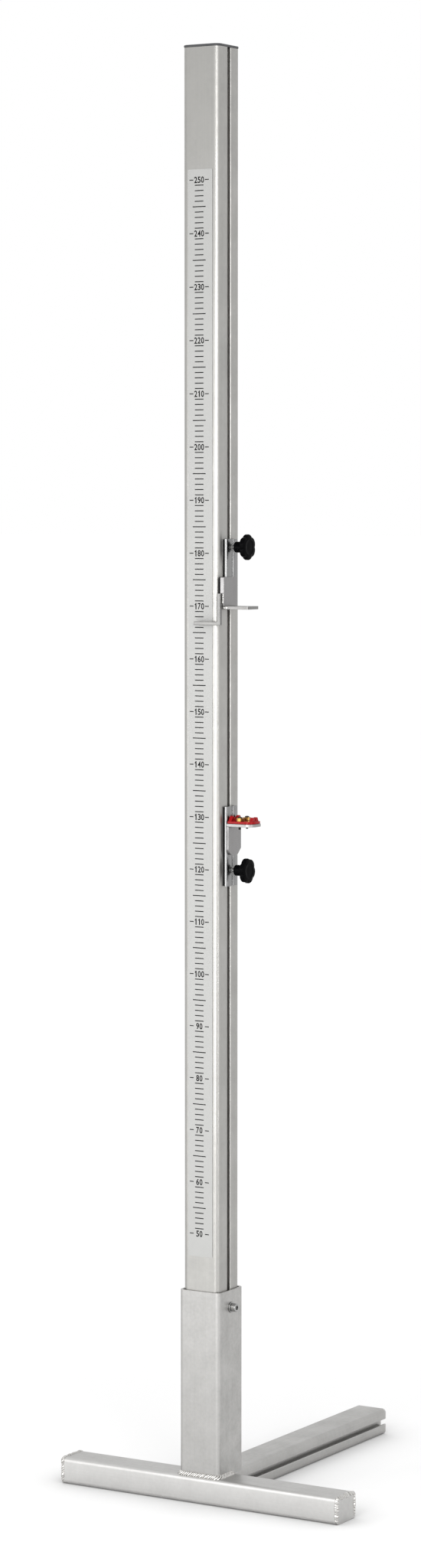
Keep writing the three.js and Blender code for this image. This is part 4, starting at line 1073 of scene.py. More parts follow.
@dataclass
class SleeveAndClamp:
    """Square sleeve welded on the base, and the socket screw that holds the post in it."""

    standard: Standard
    corner: float = 9.0 * MM
    corner_steps: int = 14
    wall: float = 4.4 * MM
    edge: float = 0.5 * MM
    front_bead: Bead = Bead(7.3 * MM, 4.6 * MM, ripple=0.3)
    side_bead: Bead = Bead(5.0 * MM)
    side_seed: int = 8
    shank: float = 5.0 * MM
    head_edge: float = 0.9 * MM
    socket: float = 8.0 * MM
    socket_depth: float = 5.0 * MM
    washer_play: float = 0.35 * MM
    washer_edge: float = 0.4 * MM

    def build(self) -> None:
        """Makes the sleeve, its beads and the clamp."""
        sleeve = box_tube("sleeve_tube", Box.of("sleeve"), Axis.Z, self.corner, self.wall, self.corner_steps)
        soften(sleeve, self.edge)
        self.standard.dress(sleeve, SLEEVE, Body.FRAME, "sleeve")
        self.front_weld()
        self.rear_weld()
        self.bolt()
        self.washer()
        self.standard.coat("clamp_groove_nut", STEEL)

    def front_weld(self) -> None:
        """Bead down the left side of the sleeve's foot, round its front and up its right side.

        The path is the sleeve's outline, and the bead is thicker along the front than on the sides.
        """
        box, steps = Box.of("sleeve"), self.corner_steps
        outline = box.outline(Axis.Z, self.corner, steps)
        back = Box.of("sleeve_weld_front").high[1]
        walk = np.concatenate([[(box.low[0], back)], outline[3 * steps:], outline[:steps],
                               [(box.high[0], back)]])
        out = outward(walk, box.middle[:2], box.size[:2] / 2.0 - self.corner)
        share = self.side_bead.size / self.front_bead.size
        thickness = share + (1.0 - share) * np.clip(-out[:, 1:], 0.0, 1.0)
        self.standard.weld("sleeve_bead_front", "sleeve_weld_front", self.front_bead,
                           np.insert(walk, 2, box.low[2], axis=1), np.insert(out, 2, 0.0, axis=1) * thickness,
                           Axis.Z.unit)

    def rear_weld(self) -> None:
        """Straight bead on the rear leg, behind the sleeve."""
        sleeve = Box.of("sleeve")
        self.standard.straight_weld("sleeve_bead_rear", "sleeve_weld_rear", self.side_bead, Axis.X,
                                    (0.0, sleeve.high[1], sleeve.low[2]), Axis.Y.unit, Axis.Z.unit,
                                    self.side_seed)

    @property
    def bolt_axis(self) -> Array:
        """Point of the bolt's axis at x = 0."""
        return np.array([0.0, *Box.of("clamp_bolt").middle[1:]])

    def bolt(self) -> None:
        """Socket head screw. The profile steps from the shank to a head with a soft edge."""
        bolt, centre = Box.of("clamp_bolt"), self.bolt_axis
        head, shank, edge = bolt.size[2] / 2.0, self.shank, self.head_edge
        tip, front = bolt.ends(Axis.X)
        back = Box.of("clamp_washer").high[0] + GAP
        profile = [(tip, shank - edge), (tip + edge, shank), (back, shank), (back, head - edge / 2.0),
                   (back + edge / 2.0, head), *arc((front - edge, head - edge), edge, 90.0, 0.0, 5)]
        screw = turned("clamp_screw", profile, Axis.X, centre)
        hexagon = arc((0.0, centre[2]), self.socket / math.sqrt(3.0), 0.0, 300.0, 6)
        ends = (front - self.socket_depth, front + self.socket_depth)
        carve(screw, extrusion("socket", hexagon, Axis.X, ends))
        self.standard.dress(screw, STEEL, Body.FRAME, "clamp_bolt")

    def washer(self) -> None:
        """Flat ring with soft outer edges round the bolt."""
        box = Box.of("clamp_washer")
        low, high = box.ends(Axis.X)
        radius, bore, soft = box.size[2] / 2.0, self.shank + self.washer_play, self.washer_edge
        ring = [(low, bore), (low, radius - soft), (low + soft, radius), (high - soft, radius),
                (high, radius - soft), (high, bore)]
        piece = turned("clamp_ring", ring, Axis.X, self.bolt_axis, closed=True)
        self.standard.dress(piece, STEEL, Body.FRAME, "clamp_washer")


# Post and scale


@dataclass
class Post:
    """Grooved post with its cap."""

    standard: Standard
    corner: float = 12.0 * MM
    corner_steps: int = 16
    wall: float = 3.0 * MM
    edge: float = 0.8 * MM
    groove: Groove = Groove(11.0 * MM, 3.5 * MM, 22.0 * MM, 9.5 * MM, 3.0 * MM, 2.8 * MM)
    cap_edge: float = 1.5 * MM
    cap_steps: int = 12

    def build(self) -> None:
        """Makes the post and the cap."""
        box = Box.of("upright")
        outer, inner = self.groove.walls(box, Axis.Z, self.corner, self.wall, self.corner_steps)
        post = tube("post_extrusion", outer, inner, Axis.Z, box.ends(Axis.Z))
        soften(post, self.edge, 3)
        self.standard.dress(post, POST, Body.FRAME, "upright")
        self.cap()

    def cap(self) -> None:
        """Flange with quarter-round edges: ring k lies at height e sin a, inset by e (1 - cos a)."""
        box, post = Box.of("top_cap"), Box.of("upright")
        foot, top, edge = post.high[2] + GAP, box.high[2], self.cap_edge
        angle = np.radians(np.linspace(0.0, 90.0, 6))
        insets = edge * (1.0 - np.concatenate([np.sin(angle), np.cos(angle)]))
        places = np.concatenate([foot + edge * (1.0 - np.cos(angle)), top - edge * (1.0 - np.sin(angle))])
        radius = self.corner + (box.size[0] - post.size[0]) / 2.0
        rings = [lay(box.outline(Axis.Z, radius - inset, self.cap_steps, inset), Axis.Z, [place])
                 for inset, place in zip(insets, places)]
        self.standard.dress(skin("post_cap", np.concatenate(rings)), CAP, Body.FRAME, "top_cap")


@dataclass
class HeightScale:
    """Centimetre scale on the front of the post: a film, its ticks and its figures.

    The outline of the figure one is in millimetres, about the middle of its cell.
    """

    standard: Standard
    film_corner: float = 2.0 * MM
    film_edge: float = 0.12 * MM
    ink: float = 0.07 * MM
    zero: float = 22.0 * MM
    first: int = 50
    last: int = 250
    centre: float = -1.9 * MM
    tick: float = 19.0 * MM
    five_tick: float = 28.5 * MM
    thick: float = 1.8 * MM
    dash: float = 8.6 * MM
    dash_thick: float = 1.7 * MM
    dash_reach: float = 21.3 * MM
    figure_height: float = 12.0 * MM
    figure_width: float = 6.5 * MM
    cell: float = 7.5 * MM
    boldness: float = 0.022
    letter_depth: float = 0.02
    letter_steps: int = 4
    one_outline: tuple[tuple[float, float], ...] = (
        (-0.8, -6.0), (1.5, -6.0), (1.5, 6.0), (-0.4, 6.0), (-1.5, 4.0), (-2.4, 3.7), (-2.4, 2.0),
        (-0.8, 2.2))

    def build(self) -> None:
        """Makes the film and what is printed on it."""
        self.standard.plate("scale_strip", "measuring_scale", Axis.Y, FILM, self.film_corner,
                            self.film_edge, 1)
        face = Box.of("measuring_scale").low[1]
        self.marks(face)
        self.figures(face)

    def height(self, reading: Array) -> Array:
        """Height above the floor of a reading in centimetres."""
        return self.zero + np.asarray(reading) * 10.0 * MM

    def marks(self, face: float) -> None:
        """Ticks at every centimetre and a dash on each side of every figure, as thin flat blocks.

        Tick n lies at the height zero + n cm. Block i has corners at its centre plus or minus half its
        length, height and ink thickness, for all eight sign combinations.

        Args:
            face: y of the film's face.
        """
        readings = np.arange(self.first, self.last + 1)
        plain, tens = readings[readings % 10 != 0], readings[readings % 10 == 0]
        lengths = np.where(plain % 5 == 0, self.five_tick, self.tick)
        reach = self.dash_reach - self.dash / 2.0
        rows = ((self.centre, plain, lengths, self.thick),
                (self.centre - reach, tens, self.dash, self.dash_thick),
                (self.centre + reach, tens, self.dash, self.dash_thick))
        columns = [np.stack(np.broadcast_arrays(*row)) for row in rows]
        x, reading, width, height = np.concatenate(columns, axis=1)
        middle = np.stack([x, np.full(len(x), face - self.ink / 2.0), self.height(reading)], axis=1)
        size = np.stack([width, np.full(len(x), self.ink), height], axis=1)
        signs = np.array([[x, y, z] for x in (-1, 1) for y in (-1, 1) for z in (-1, 1)], float) / 2.0
        points = middle[:, None] + signs * size[:, None]
        sides = np.array([[0, 1, 3, 2], [4, 6, 7, 5], [0, 4, 5, 1], [2, 3, 7, 6], [0, 2, 6, 4], [1, 5, 7, 3]])
        faces = (np.arange(len(size)) * 8)[:, None, None] + sides
        piece = make_mesh("scale_ticks", points.reshape(-1, 3), [faces.reshape(-1, 4)])
        self.standard.dress(piece, INK, Body.FRAME)

    def figures(self, face: float) -> None:
        """Bold narrow figures at every ten centimetres, each digit in a cell of its own.

        Digit k of n has its cell's centre at (k - (n - 1) / 2) cells from the scale's middle. Its flat
        points are stood upright on the film and moved to the reading.

        Args:
            face: y of the film's face.
        """
        digits = {mark: self.typed(mark) for mark in "023456789"}
        digits["1"] = self.one()
        points, faces, offset = [], {}, 0
        for reading in range(self.first, self.last + 1, 10):
            words = str(reading)
            for place, mark in enumerate(words):
                vertices, polygons = digits[mark]
                cell = self.centre + (place - (len(words) - 1) / 2.0) * self.cell
                points.append(np.stack([vertices[:, 0] + cell, face - vertices[:, 2],
                                        vertices[:, 1] + self.height(reading)], axis=1))
                for polygon in polygons:
                    faces.setdefault(len(polygon), []).append(polygon + offset)
                offset += len(vertices)
        groups = [np.stack(group) for group in faces.values()]
        piece = make_mesh("scale_figures", np.concatenate(points), groups)
        self.standard.dress(piece, INK, Body.FRAME)

    def one(self) -> tuple[Array, list[Array]]:
        """Figure one: an upright stroke with a flag that drops from its top to the left.

        Returns:
            (n, 3) points, flat in x and y, and the list of faces.
        """
        points = lay(np.array(self.one_outline) * MM, Axis.Z, (0.0, self.ink))
        count = len(self.one_outline)
        ring = np.arange(count)
        after = np.roll(ring, -1)
        sides = np.stack([ring, after, after + count, ring + count], axis=1)
        return points.reshape(-1, 3), [ring[::-1], ring + count, *sides]

    def typed(self, mark: str) -> tuple[Array, list[Array]]:
        """Types one digit bold, makes it a mesh and fits it to the figures' height and width.

        Args:
            mark: the digit.

        Returns:
            (n, 3) points, flat in x and y, and the list of faces.
        """
        curve = bpy.data.curves.new("figure", "FONT")
        curve.body = mark
        curve.offset = self.boldness
        curve.extrude = self.letter_depth
        curve.resolution_u = self.letter_steps
        holder = bpy.data.objects.new("figure", curve)
        bpy.context.scene.collection.objects.link(holder)
        graph = bpy.context.evaluated_depsgraph_get()
        mesh = bpy.data.meshes.new_from_object(holder.evaluated_get(graph))
        vertices = np.empty(len(mesh.vertices) * 3)
        mesh.vertices.foreach_get("co", vertices)
        vertices = vertices.reshape(-1, 3)
        polygons = [np.array(polygon.vertices) for polygon in mesh.polygons]
        bpy.data.objects.remove(holder)
        low, high = vertices.min(axis=0), vertices.max(axis=0)
        target = np.array([self.figure_width, self.figure_height, self.ink])
        centred = (vertices - (low + high) / 2.0) * target / (high - low)
        return centred + np.array([0.0, 0.0, self.ink / 2.0]), polygons


# Sliders


@dataclass(frozen=True)
class StarKnob:
    """Star knob as one surface of revolution with lobes."""

    hub: float = 10.5 * MM
    neck: float = 12.6 * MM
    lobe: float = 24.4 * MM
    valley: float = 20.4 * MM
    bore: float = 5.4 * MM
    bore_depth: float = 1.2 * MM
    bore_edge: float = 0.4 * MM
    head: float = 11.6 * MM
    crown: float = 2.0 * MM
    hub_soft: float = 2.2 * MM
    rim_soft: float = 2.8 * MM
    lobes: int = 6
    lobe_steps: int = 28
    sharp: float = 0.012

    def profile(self, back: float, front: float) -> Array:
        """Rows from the bore, over the hub and the back of the head, round the rim and over the face.

        Args:
            back: x of the hub's end.
            front: x of the head's front, from which the head and the crown are measured.

        Returns:
            (n, 3) array of place, mean radius and share of the lobes.
        """
        mean, head, face = (self.lobe + self.valley) / 2.0, front - self.head, front - self.crown
        hub, hub_soft, soft = self.hub, self.hub_soft, self.rim_soft
        quarter = np.radians(np.linspace(0.0, 90.0, 7))
        rise, reach = np.sin(quarter), np.cos(quarter)

        def rows(x: Array, radius: Array, share: float) -> Array:
            """Rows with one share of the lobes."""
            return np.stack([x, radius, np.full(len(x), share)], axis=1)

        return np.concatenate([
            [(back + self.bore_depth, self.bore, 0.0), (back + GAP, self.bore, 0.0),
             (back, self.bore + self.bore_edge, 0.0)],
            rows(back + hub_soft * (1.0 - reach), hub - hub_soft * (1.0 - rise), 0.0),
            rows(head - hub_soft * reach, self.neck - (self.neck - hub) * reach, 0.0),
            [(head + 0.2 * MM, (self.neck + mean) / 2.0, 0.35)],
            rows(head + soft * (1.0 - reach), mean - soft * (1.0 - rise), 1.0),
            rows(face - soft * (1.0 - reach[::-1]), mean - soft * (1.0 - rise[::-1]), 1.0),
            [(face + 0.5 * MM, mean * 0.72, 0.55), (face + 0.9 * MM, mean * 0.66, 0.3),
             (face + 0.55 * MM, mean * 0.62, 0.15), (face + 0.6 * MM, mean * 0.4, 0.0),
             (face + 0.8 * MM, mean * 0.12, 0.0), (face + 0.85 * MM, 0.3 * MM, 0.0)],
        ])

    def surface(self, name: str, ends: tuple[float, float], centre: Array, turn: float) -> Piece:
        """Carries the profile round the x axis.

        At turn a the lobe wave is w = 2 ((cos^2(n a / 2) + s) / (1 + s))^(1/4) - 1: wide round lobes with
        narrow, slightly softened valleys. Row i has the radius mean_i + swing_i * w.

        Args:
            name: name of the piece.
            ends: lower and upper end in x.
            centre: a point on the axis.
            turn: angle of the first lobe in degrees.

        Returns:
            The new object.
        """
        x, radius, share = np.hsplit(self.profile(*ends), 3)
        steps = self.lobes * self.lobe_steps
        angle = np.arange(steps) * FULL_TURN / steps
        lift = (np.cos(self.lobes * angle / 2.0) ** 2 + self.sharp) / (1.0 + self.sharp)
        radius = radius + (self.lobe - self.valley) / 2.0 * share * (2.0 * lift ** 0.25 - 1.0)
        return skin(name, round_rings(x, radius, angle + math.radians(turn), Axis.X, centre))


@dataclass
class Runner:
    """What both sliders share: the rail on its liner, the bush, the stud and the star knob."""

    standard: Standard
    side: str
    body: Body
    screw_body: Body
    knob_body: Body
    turn: float
    edge: float = 4.2 * MM
    soft: float = 0.5 * MM
    groove: float = 6.0 * MM
    groove_depth: float = 1.9 * MM
    groove_edge: float = 1.5 * MM
    skirt: float = 1.6 * MM
    lip: float = 1.2 * MM
    liner_gap: float = 0.15 * MM
    liner_soft: float = 0.3 * MM
    tongue: float = 5.15 * MM
    barrel: float = 4.4 * MM
    flange_edge: float = 0.4 * MM
    stud: float = 3.0 * MM
    stud_play: float = 0.1 * MM
    stud_entry: float = 1.0 * MM
    stud_steps: int = 24
    thread: float = 1.0 * MM
    thread_depth: float = 0.35 * MM
    thread_rings: int = 10
    knob: StarKnob = StarKnob()

    def build(self) -> None:
        """Makes the visible pieces, and dresses the hidden CAD nodes that stay."""
        self.rail()
        self.liner()
        self.bush()
        self.threaded_stud()
        knob = f"{self.side}_knob"
        ends = Box.of(knob).ends(Axis.X)
        piece = self.knob.surface(f"{self.side}_star_knob", ends, self.axis_point, self.turn)
        self.standard.dress(piece, KNOB, self.knob_body, knob)
        for node in ("groove_bar", "bar_screw_1", "bar_screw_2"):
            self.standard.coat(f"{self.side}_{node}", STEEL)

    @property
    def axis_point(self) -> Array:
        """Point of the knob's axis at x = 0."""
        return np.array([0.0, *Box.of(f"{self.side}_thread_bush").middle[1:]])

    def rail(self) -> None:
        """Flat bar with a groove down its face, round outer edges and a lip down each side of the liner."""
        box = Box.of(f"{self.side}_rail")
        face, half, groove = box.high[0], box.size[1] / 2.0, self.groove / 2.0
        edge, brim = self.edge, self.groove_edge
        right = np.concatenate([arc((face - edge, -half + edge), edge, -90.0, 0.0, 6),
                                arc((face - brim, -groove - brim), brim, 0.0, 90.0, 6),
                                [(face - self.groove_depth, -groove)]])
        back, inside = box.low[0], half - self.lip
        foot = back - self.skirt
        outline = np.concatenate([[(foot, -half)], mirrored(right), [(foot, half), (foot, inside)],
                                  [(back, inside), (back, -inside), (foot, -inside)]])
        self.standard.extrude(f"{self.side}_rail_bar", f"{self.side}_rail", outline, Axis.Z, RAIL, self.soft,
                              body=self.body)

    def liner(self) -> None:
        """Black sliding strip with a tongue in the mouth of the post's groove."""
        box = Box.of(f"{self.side}_glide_liner")
        front, half, gap = box.high[0], box.size[1] / 2.0, self.liner_gap
        back = Box.of("upright").high[0] + GAP
        step, inside = front - self.skirt - gap, half - self.lip - gap
        low, tongue = box.low[0], self.tongue
        outline = np.array([(front, -inside), (front, inside), (step, inside), (step, half), (back, half),
                            (back, tongue), (low, tongue), (low, -tongue), (back, -tongue), (back, -half),
                            (step, -half), (step, -inside)])
        self.standard.extrude(f"{self.side}_liner_strip", f"{self.side}_glide_liner", outline, Axis.Z, LINER,
                              self.liner_soft, body=self.body)

    def bush(self) -> None:
        """Turned bush: barrel, flange with a soft edge, and the bore for the stud."""
        node = f"{self.side}_thread_bush"
        box = Box.of(node)
        low, high = box.ends(Axis.X)
        flange, bore, soft = box.size[2] / 2.0, self.stud + self.stud_play, self.flange_edge
        back = Box.of(f"{self.side}_rail").high[0] + GAP
        profile = [(low, bore), (low, self.barrel), (back, self.barrel), (back, flange - soft),
                   (back + soft, flange), (high - soft, flange), (high, flange - soft), (high, bore + soft),
                   (high - soft, bore)]
        piece = turned(f"{self.side}_bush_ring", profile, Axis.X, self.axis_point, closed=True)
        self.standard.dress(piece, STEEL, self.body, node)

    def threaded_stud(self) -> None:
        """Stud with a helical thread: radius = stud - depth * |frac(x / pitch - a / 2 pi) - 1/2| * 2."""
        node = f"{self.side}_knob_stud"
        start, end = Box.of(node).low[0], Box.of(f"{self.side}_knob").low[0] + self.stud_entry
        x = np.linspace(start, end, int((end - start) / self.thread * self.thread_rings))[:, None]
        angle = np.arange(self.stud_steps) * FULL_TURN / self.stud_steps
        phase = (x / self.thread - angle / FULL_TURN) % 1.0
        radius = self.stud - self.thread_depth * np.abs(phase - 0.5) * 2.0
        taper = np.clip((x - start) / self.thread, 0.0, 1.0)
        radius = radius - (1.0 - taper) * self.thread / 2.0
        piece = skin(f"{self.side}_threaded_stud", round_rings(x, radius, angle, Axis.X, self.axis_point))
        self.standard.dress(piece, STEEL, self.screw_body, node)


@dataclass
class CrossbarSupport:
    """Upper slider: bracket plate, packing pad, crossbar rest and pointer."""

    standard: Standard
    knob_turn: float = 30.0
    plate_corner: float = 1.2 * MM
    rest_corner: float = 1.5 * MM
    plate_edge: float = 0.5 * MM
    plate_steps: int = 6
    pad_corner: float = 0.8 * MM
    pad_edge: float = 0.3 * MM
    pointer_depth: float = 6.5 * MM
    pointer_bend: float = 1.3 * MM
    pointer_edge: float = 0.8 * MM
    bead_pitch: float = 3.6 * MM

    def build(self) -> None:
        """Makes the pieces on the upper rail."""
        Runner(self.standard, "upper", Body.SUPPORT, Body.UPPER_SCREW, Body.UPPER_KNOB,
               self.knob_turn).build()
        self.standard.plate("bracket_block", "upper_bracket_plate", Axis.X, PLATE, self.plate_corner,
                            self.plate_edge, body=Body.SUPPORT, steps=self.plate_steps)
        self.standard.plate("rest_plate", "crossbar_rest", Axis.Z, REST, self.rest_corner,
                            self.plate_edge, body=Body.SUPPORT, steps=self.plate_steps)
        self.standard.plate("bracket_packing", "bracket_pad", Axis.X, LINER, self.pad_corner, self.pad_edge,
                            body=Body.SUPPORT)
        self.pointer()
        self.beads()

    def pointer(self) -> None:
        """Square bar with one tight bend: an outline like the letter L, mirrored, with a depth in y."""
        box, depth, bend = Box.of("pointer"), self.pointer_depth, self.pointer_bend
        (left, low), (right, high) = box.low[[0, 2]], box.high[[0, 2]]
        outer = arc((right - bend, low + bend), bend, 0.0, -90.0, 6)
        inner = arc((right - depth - bend, low + depth + bend), bend, -90.0, 0.0, 6)
        outline = np.concatenate([[(right, high)], outer, [(left, low), (left, low + depth)], inner,
                                  [(right - depth, high)]])
        self.standard.extrude("pointer_bar", "pointer", outline, Axis.Y, POINTER, self.pointer_edge, 3,
                              Body.SUPPORT)

    def beads(self) -> None:
        """Beads beside the pointer and at the front corner of the rest."""
        for name, node, axis, across, flat in (("pointer_bead", "pointer_weld", Axis.Z, Axis.X, 0.9),
                                               ("rest_bead", "rest_weld", Axis.X, Axis.Z, 0.5)):
            box = Box.of(node)
            bead = Bead(box.size[across.value] / 2.0, self.bead_pitch, ripple=0.34, lean=0.4, roundness=2.0,
                        wander=0.14, flat=flat)
            through = (box.middle[0], box.high[1], box.middle[2])
            self.standard.straight_weld(name, node, bead, axis, through, across.unit, -Axis.Y.unit,
                                        body=Body.SUPPORT)


@dataclass(frozen=True)
class Fairlead:
    """Part of the cleat that guides the cord: slopes up to two horns with a half-round notch between."""

    name: str
    inset: float
    length: float
    height: float
    span: float
    peak: float
    channel: float
    flat: float = 2.0 * MM
    sink: float = 2.0 * MM
    lift: float = 1.4 * MM

    def outline(self, base: float) -> Array:
        """Outline across x.

        Args:
            base: height of the top of the moulding's base.

        Returns:
            (n, 2) array of y and z.
        """
        half, notch, top = self.span / 2.0, self.channel / 2.0, base + self.height
        right = np.array([(half, base - self.sink), (half, base), (self.peak + self.flat, top),
                          (self.peak - self.flat, top)])
        return np.concatenate([right, arc((0.0, base + self.lift + notch), notch, 0.0, -180.0, 15),
                               right[::-1] * [-1.0, 1.0]])


@dataclass
class CordClamp:
    """Lower slider: shelf on a tongue plate, with a red cam cleat on top."""

    standard: Standard
    knob_turn: float = 46.0
    tip: float = 11.0 * MM
    taper: float = 11.5 * MM
    tongue_edge: float = 0.5 * MM
    shelf_corner: float = 17.0 * MM
    shelf_edge: float = 0.6 * MM
    body_corner: float = 15.8 * MM
    base_height: float = 4.5 * MM
    base_edge: float = 1.0 * MM
    inner_lead: Fairlead = Fairlead("inner_fairlead", 1.2 * MM, 6.6 * MM, 9.7 * MM, 41.0 * MM,
                                    12.0 * MM, 8.0 * MM)
    outer_lead: Fairlead = Fairlead("outer_fairlead", 11.2 * MM, 7.0 * MM, 7.6 * MM, 24.0 * MM,
                                    6.2 * MM, 6.4 * MM)
    lead_edge: float = 0.9 * MM
    teeth: int = 9
    tooth_depth: float = 0.7 * MM
    tooth_steps: int = 6
    grip: float = 11.2 * MM
    growth: float = 20.0 * MM
    grip_angles: tuple[float, float] = (25.0, 126.0)
    back_angles: tuple[float, float] = (205.0, 320.0)
    cam_back: float = 6.9 * MM
    cam_play: float = 0.35 * MM
    pocket: float = 5.5 * MM
    pocket_depth: float = 3.0 * MM
    wire: float = 0.4 * MM
    coils: float = 1.75
    coil_steps: int = 64
    pivot: float = 2.5 * MM
    screw_head: float = 4.2 * MM
    head_height: float = 2.4 * MM
    head_brim: float = 0.25
    tip_edge: float = 0.5 * MM
    thread_start: float = 0.6 * MM
    ridge: float = 0.25 * MM
    ridge_step: float = 0.4 * MM
    slot_width: float = 1.1 * MM
    slot_depth: float = 0.9 * MM
    slot_heading: float = 36.0

    def build(self) -> None:
        """Makes the pieces on the lower rail."""
        Runner(self.standard, "lower", Body.CLAMP, Body.LOWER_SCREW, Body.LOWER_KNOB,
               self.knob_turn).build()
        self.tongue()
        self.standard.extrude("shelf_plate", "cleat_shelf", self.d_outline("cleat_shelf", self.shelf_corner),
                              Axis.Z, SHELF, self.shelf_edge, body=Body.CLAMP)
        self.cleat_body()
        for side, sign, body in (("front", -1.0, Body.FRONT_CAM), ("rear", 1.0, Body.REAR_CAM)):
            self.cam(side, sign, body)
            self.spring(side)
            self.screw(side)

    def tongue(self) -> None:
        """Plate below the shelf: one lower corner sweeps in on a parabola, the other is cut straight."""
        box = Box.of("lower_tongue_plate")
        (left, foot), (right, top) = box.low[1:], box.high[1:]
        shoulder = foot + self.taper
        t = np.linspace(0.0, 1.0, 12)[:, None]
        start, pull, end = np.array([(left, shoulder), (left + self.taper / 3.0, foot), (-self.tip, foot)])
        sweep = (1.0 - t) ** 2 * start + 2.0 * t * (1.0 - t) * pull + t ** 2 * end
        outline = np.concatenate([[(left, top)], sweep, [(self.tip, foot), (right, shoulder), (right, top)]])
        self.standard.extrude("tongue_plate", "lower_tongue_plate", outline, Axis.X, PLATE, self.tongue_edge,
                              body=Body.CLAMP)

    @staticmethod
    def d_outline(node: str, corner: float) -> Array:
        """Outline that is square at low x and has two large round corners at high x.

        Args:
            node: CAD node whose sides the outline touches.
            corner: radius of the round corners.

        Returns:
            (n, 2) array.
        """
        box = Box.of(node)
        (left, low), (right, high) = box.low[:2], box.high[:2]
        return np.concatenate([[(left, low)], arc((right - corner, low + corner), corner, -90.0, 0.0, 14),
                               arc((right - corner, high - corner), corner, 0.0, 90.0, 14), [(left, high)]])

    def cleat_body(self) -> None:
        """Red moulding: a stepped base, and two fairleads whose round notch guides the cord."""
        box = Box.of("cleat_body")
        foot, top = box.low[2], box.low[2] + self.base_height
        base = extrusion("cleat_base", self.d_outline("cleat_body", self.body_corner), Axis.Z, (foot, top))
        soften(base, self.base_edge, 4)
        self.standard.dress(base, CLEAT, Body.CLAMP, "cleat_body")
        for lead, start in ((self.inner_lead, box.low[0] + self.inner_lead.inset),
                            (self.outer_lead, box.high[0] - self.outer_lead.inset)):
            piece = extrusion(lead.name, lead.outline(top), Axis.X, (start, start + lead.length))
            soften(piece, self.lead_edge, 4)
            self.standard.dress(piece, CLEAT, Body.CLAMP)

    def cam_outline(self, mirror: float) -> Array:
        """Cam outline: radius = grip + growth (a - 90) / 360, with a fine tooth wave, and a round back.

        Args:
            mirror: 1 or -1, the side that the grip faces.

        Returns:
            (n, 2) array about the pivot.
        """
        front = np.linspace(*self.grip_angles, self.teeth * self.tooth_steps + 1)
        wave = np.abs((np.arange(len(front)) / self.tooth_steps) % 1.0 - 0.5) * 2.0
        radius = self.grip + self.growth * (front - 90.0) / 360.0 - self.tooth_depth * wave
        back = np.linspace(*self.back_angles, 16)
        angle = np.radians(np.concatenate([front, back]))
        reach = np.concatenate([radius, np.full(len(back), self.cam_back)])
        return np.stack([reach * np.cos(angle), mirror * reach * np.sin(angle)], axis=1)

    def cam(self, side: str, sign: float, body: Body) -> None:
        """Toothed brass cam with a bore for its screw and a pocket for its spring.

        Args:
            side: front or rear.
            sign: -1 for front, 1 for rear.
            body: the cam's own body.
        """
        node = f"cleat_cam_{side}"
        pivot = Box.of(f"cleat_screw_{side}").middle[:2]
        low, high = Box.of(node).ends(Axis.Z)
        piece = extrusion(f"cam_block_{side}", self.cam_outline(-sign) + pivot, Axis.Z, (low, high))
        for name, radius, end in (("bore", self.pivot + self.cam_play, high + MM),
                                  ("pocket", self.pocket, low + self.pocket_depth)):
            cutter = turned(name, [(low - MM, radius), (end, radius)], Axis.Z, np.array([*pivot, 0.0]), 32)
            carve(piece, cutter)
        self.standard.dress(piece, BRASS, body, node)

    def spring(self, side: str) -> None:
        """Torsion spring: a round wire along a helix, (r cos a, r sin a, z0 + pitch a / 2 pi).

        Args:
            side: front or rear.
        """
        node = f"cam_spring_{side}"
        box, wire = Box.of(node), self.wire
        angle = np.linspace(0.0, self.coils * FULL_TURN, self.coil_steps)
        out = np.stack([np.cos(angle), np.sin(angle), np.zeros_like(angle)], axis=1)
        path = out * (box.size[0] / 2.0 - wire) + box.middle
        path[:, 2] = box.low[2] + wire + (box.size[2] - 2.0 * wire) * angle / angle[-1]
        turn = (np.arange(10) * FULL_TURN / 10)[:, None]
        rings = path[:, None] + out[:, None] * wire * np.cos(turn) + Axis.Z.unit * wire * np.sin(turn)
        self.standard.dress(skin(f"cam_coil_{side}", rings), STEEL, Body.CLAMP, node)

    def screw(self, side: str) -> None:
        """Pivot screw: slotted dome head, plain shank and threaded end below the shelf.

        Args:
            side: front or rear.
        """
        node = f"cleat_screw_{side}"
        box, head, tall = Box.of(node), self.screw_head, self.head_height
        low, top = box.ends(Axis.Z)
        under, centre = top - tall, np.array([*box.middle[:2], 0.0])
        thread = np.arange(low + self.thread_start, Box.of("cleat_shelf").low[2], self.ridge_step)
        ridges = self.pivot - self.ridge * (np.arange(len(thread)) % 2)
        dome, brim = arc((0.0, 0.0), 1.0, 0.0, 84.0, 9), self.head_brim
        profile = [(low, self.pivot - self.tip_edge), *zip(thread, ridges), (under, self.pivot),
                   (under, head), *((under + tall * (brim + (1.0 - brim) * v), head * u) for u, v in dome)]
        piece = turned(f"cam_screw_{side}", profile, Axis.Z, centre, 40)
        long, wide, heading = 1.5 * head, self.slot_width / 2.0, math.radians(self.slot_heading)
        flat = np.array([(-long, -wide), (long, -wide), (long, wide), (-long, wide)])
        spin = np.array([[math.cos(heading), math.sin(heading)], [-math.sin(heading), math.cos(heading)]])
        ends = (top - self.slot_depth, top + self.slot_depth)
        carve(piece, extrusion("slot", flat @ spin + centre[:2], Axis.Z, ends))
        self.standard.dress(piece, DARK_STEEL, Body.CLAMP, node)


# Studio


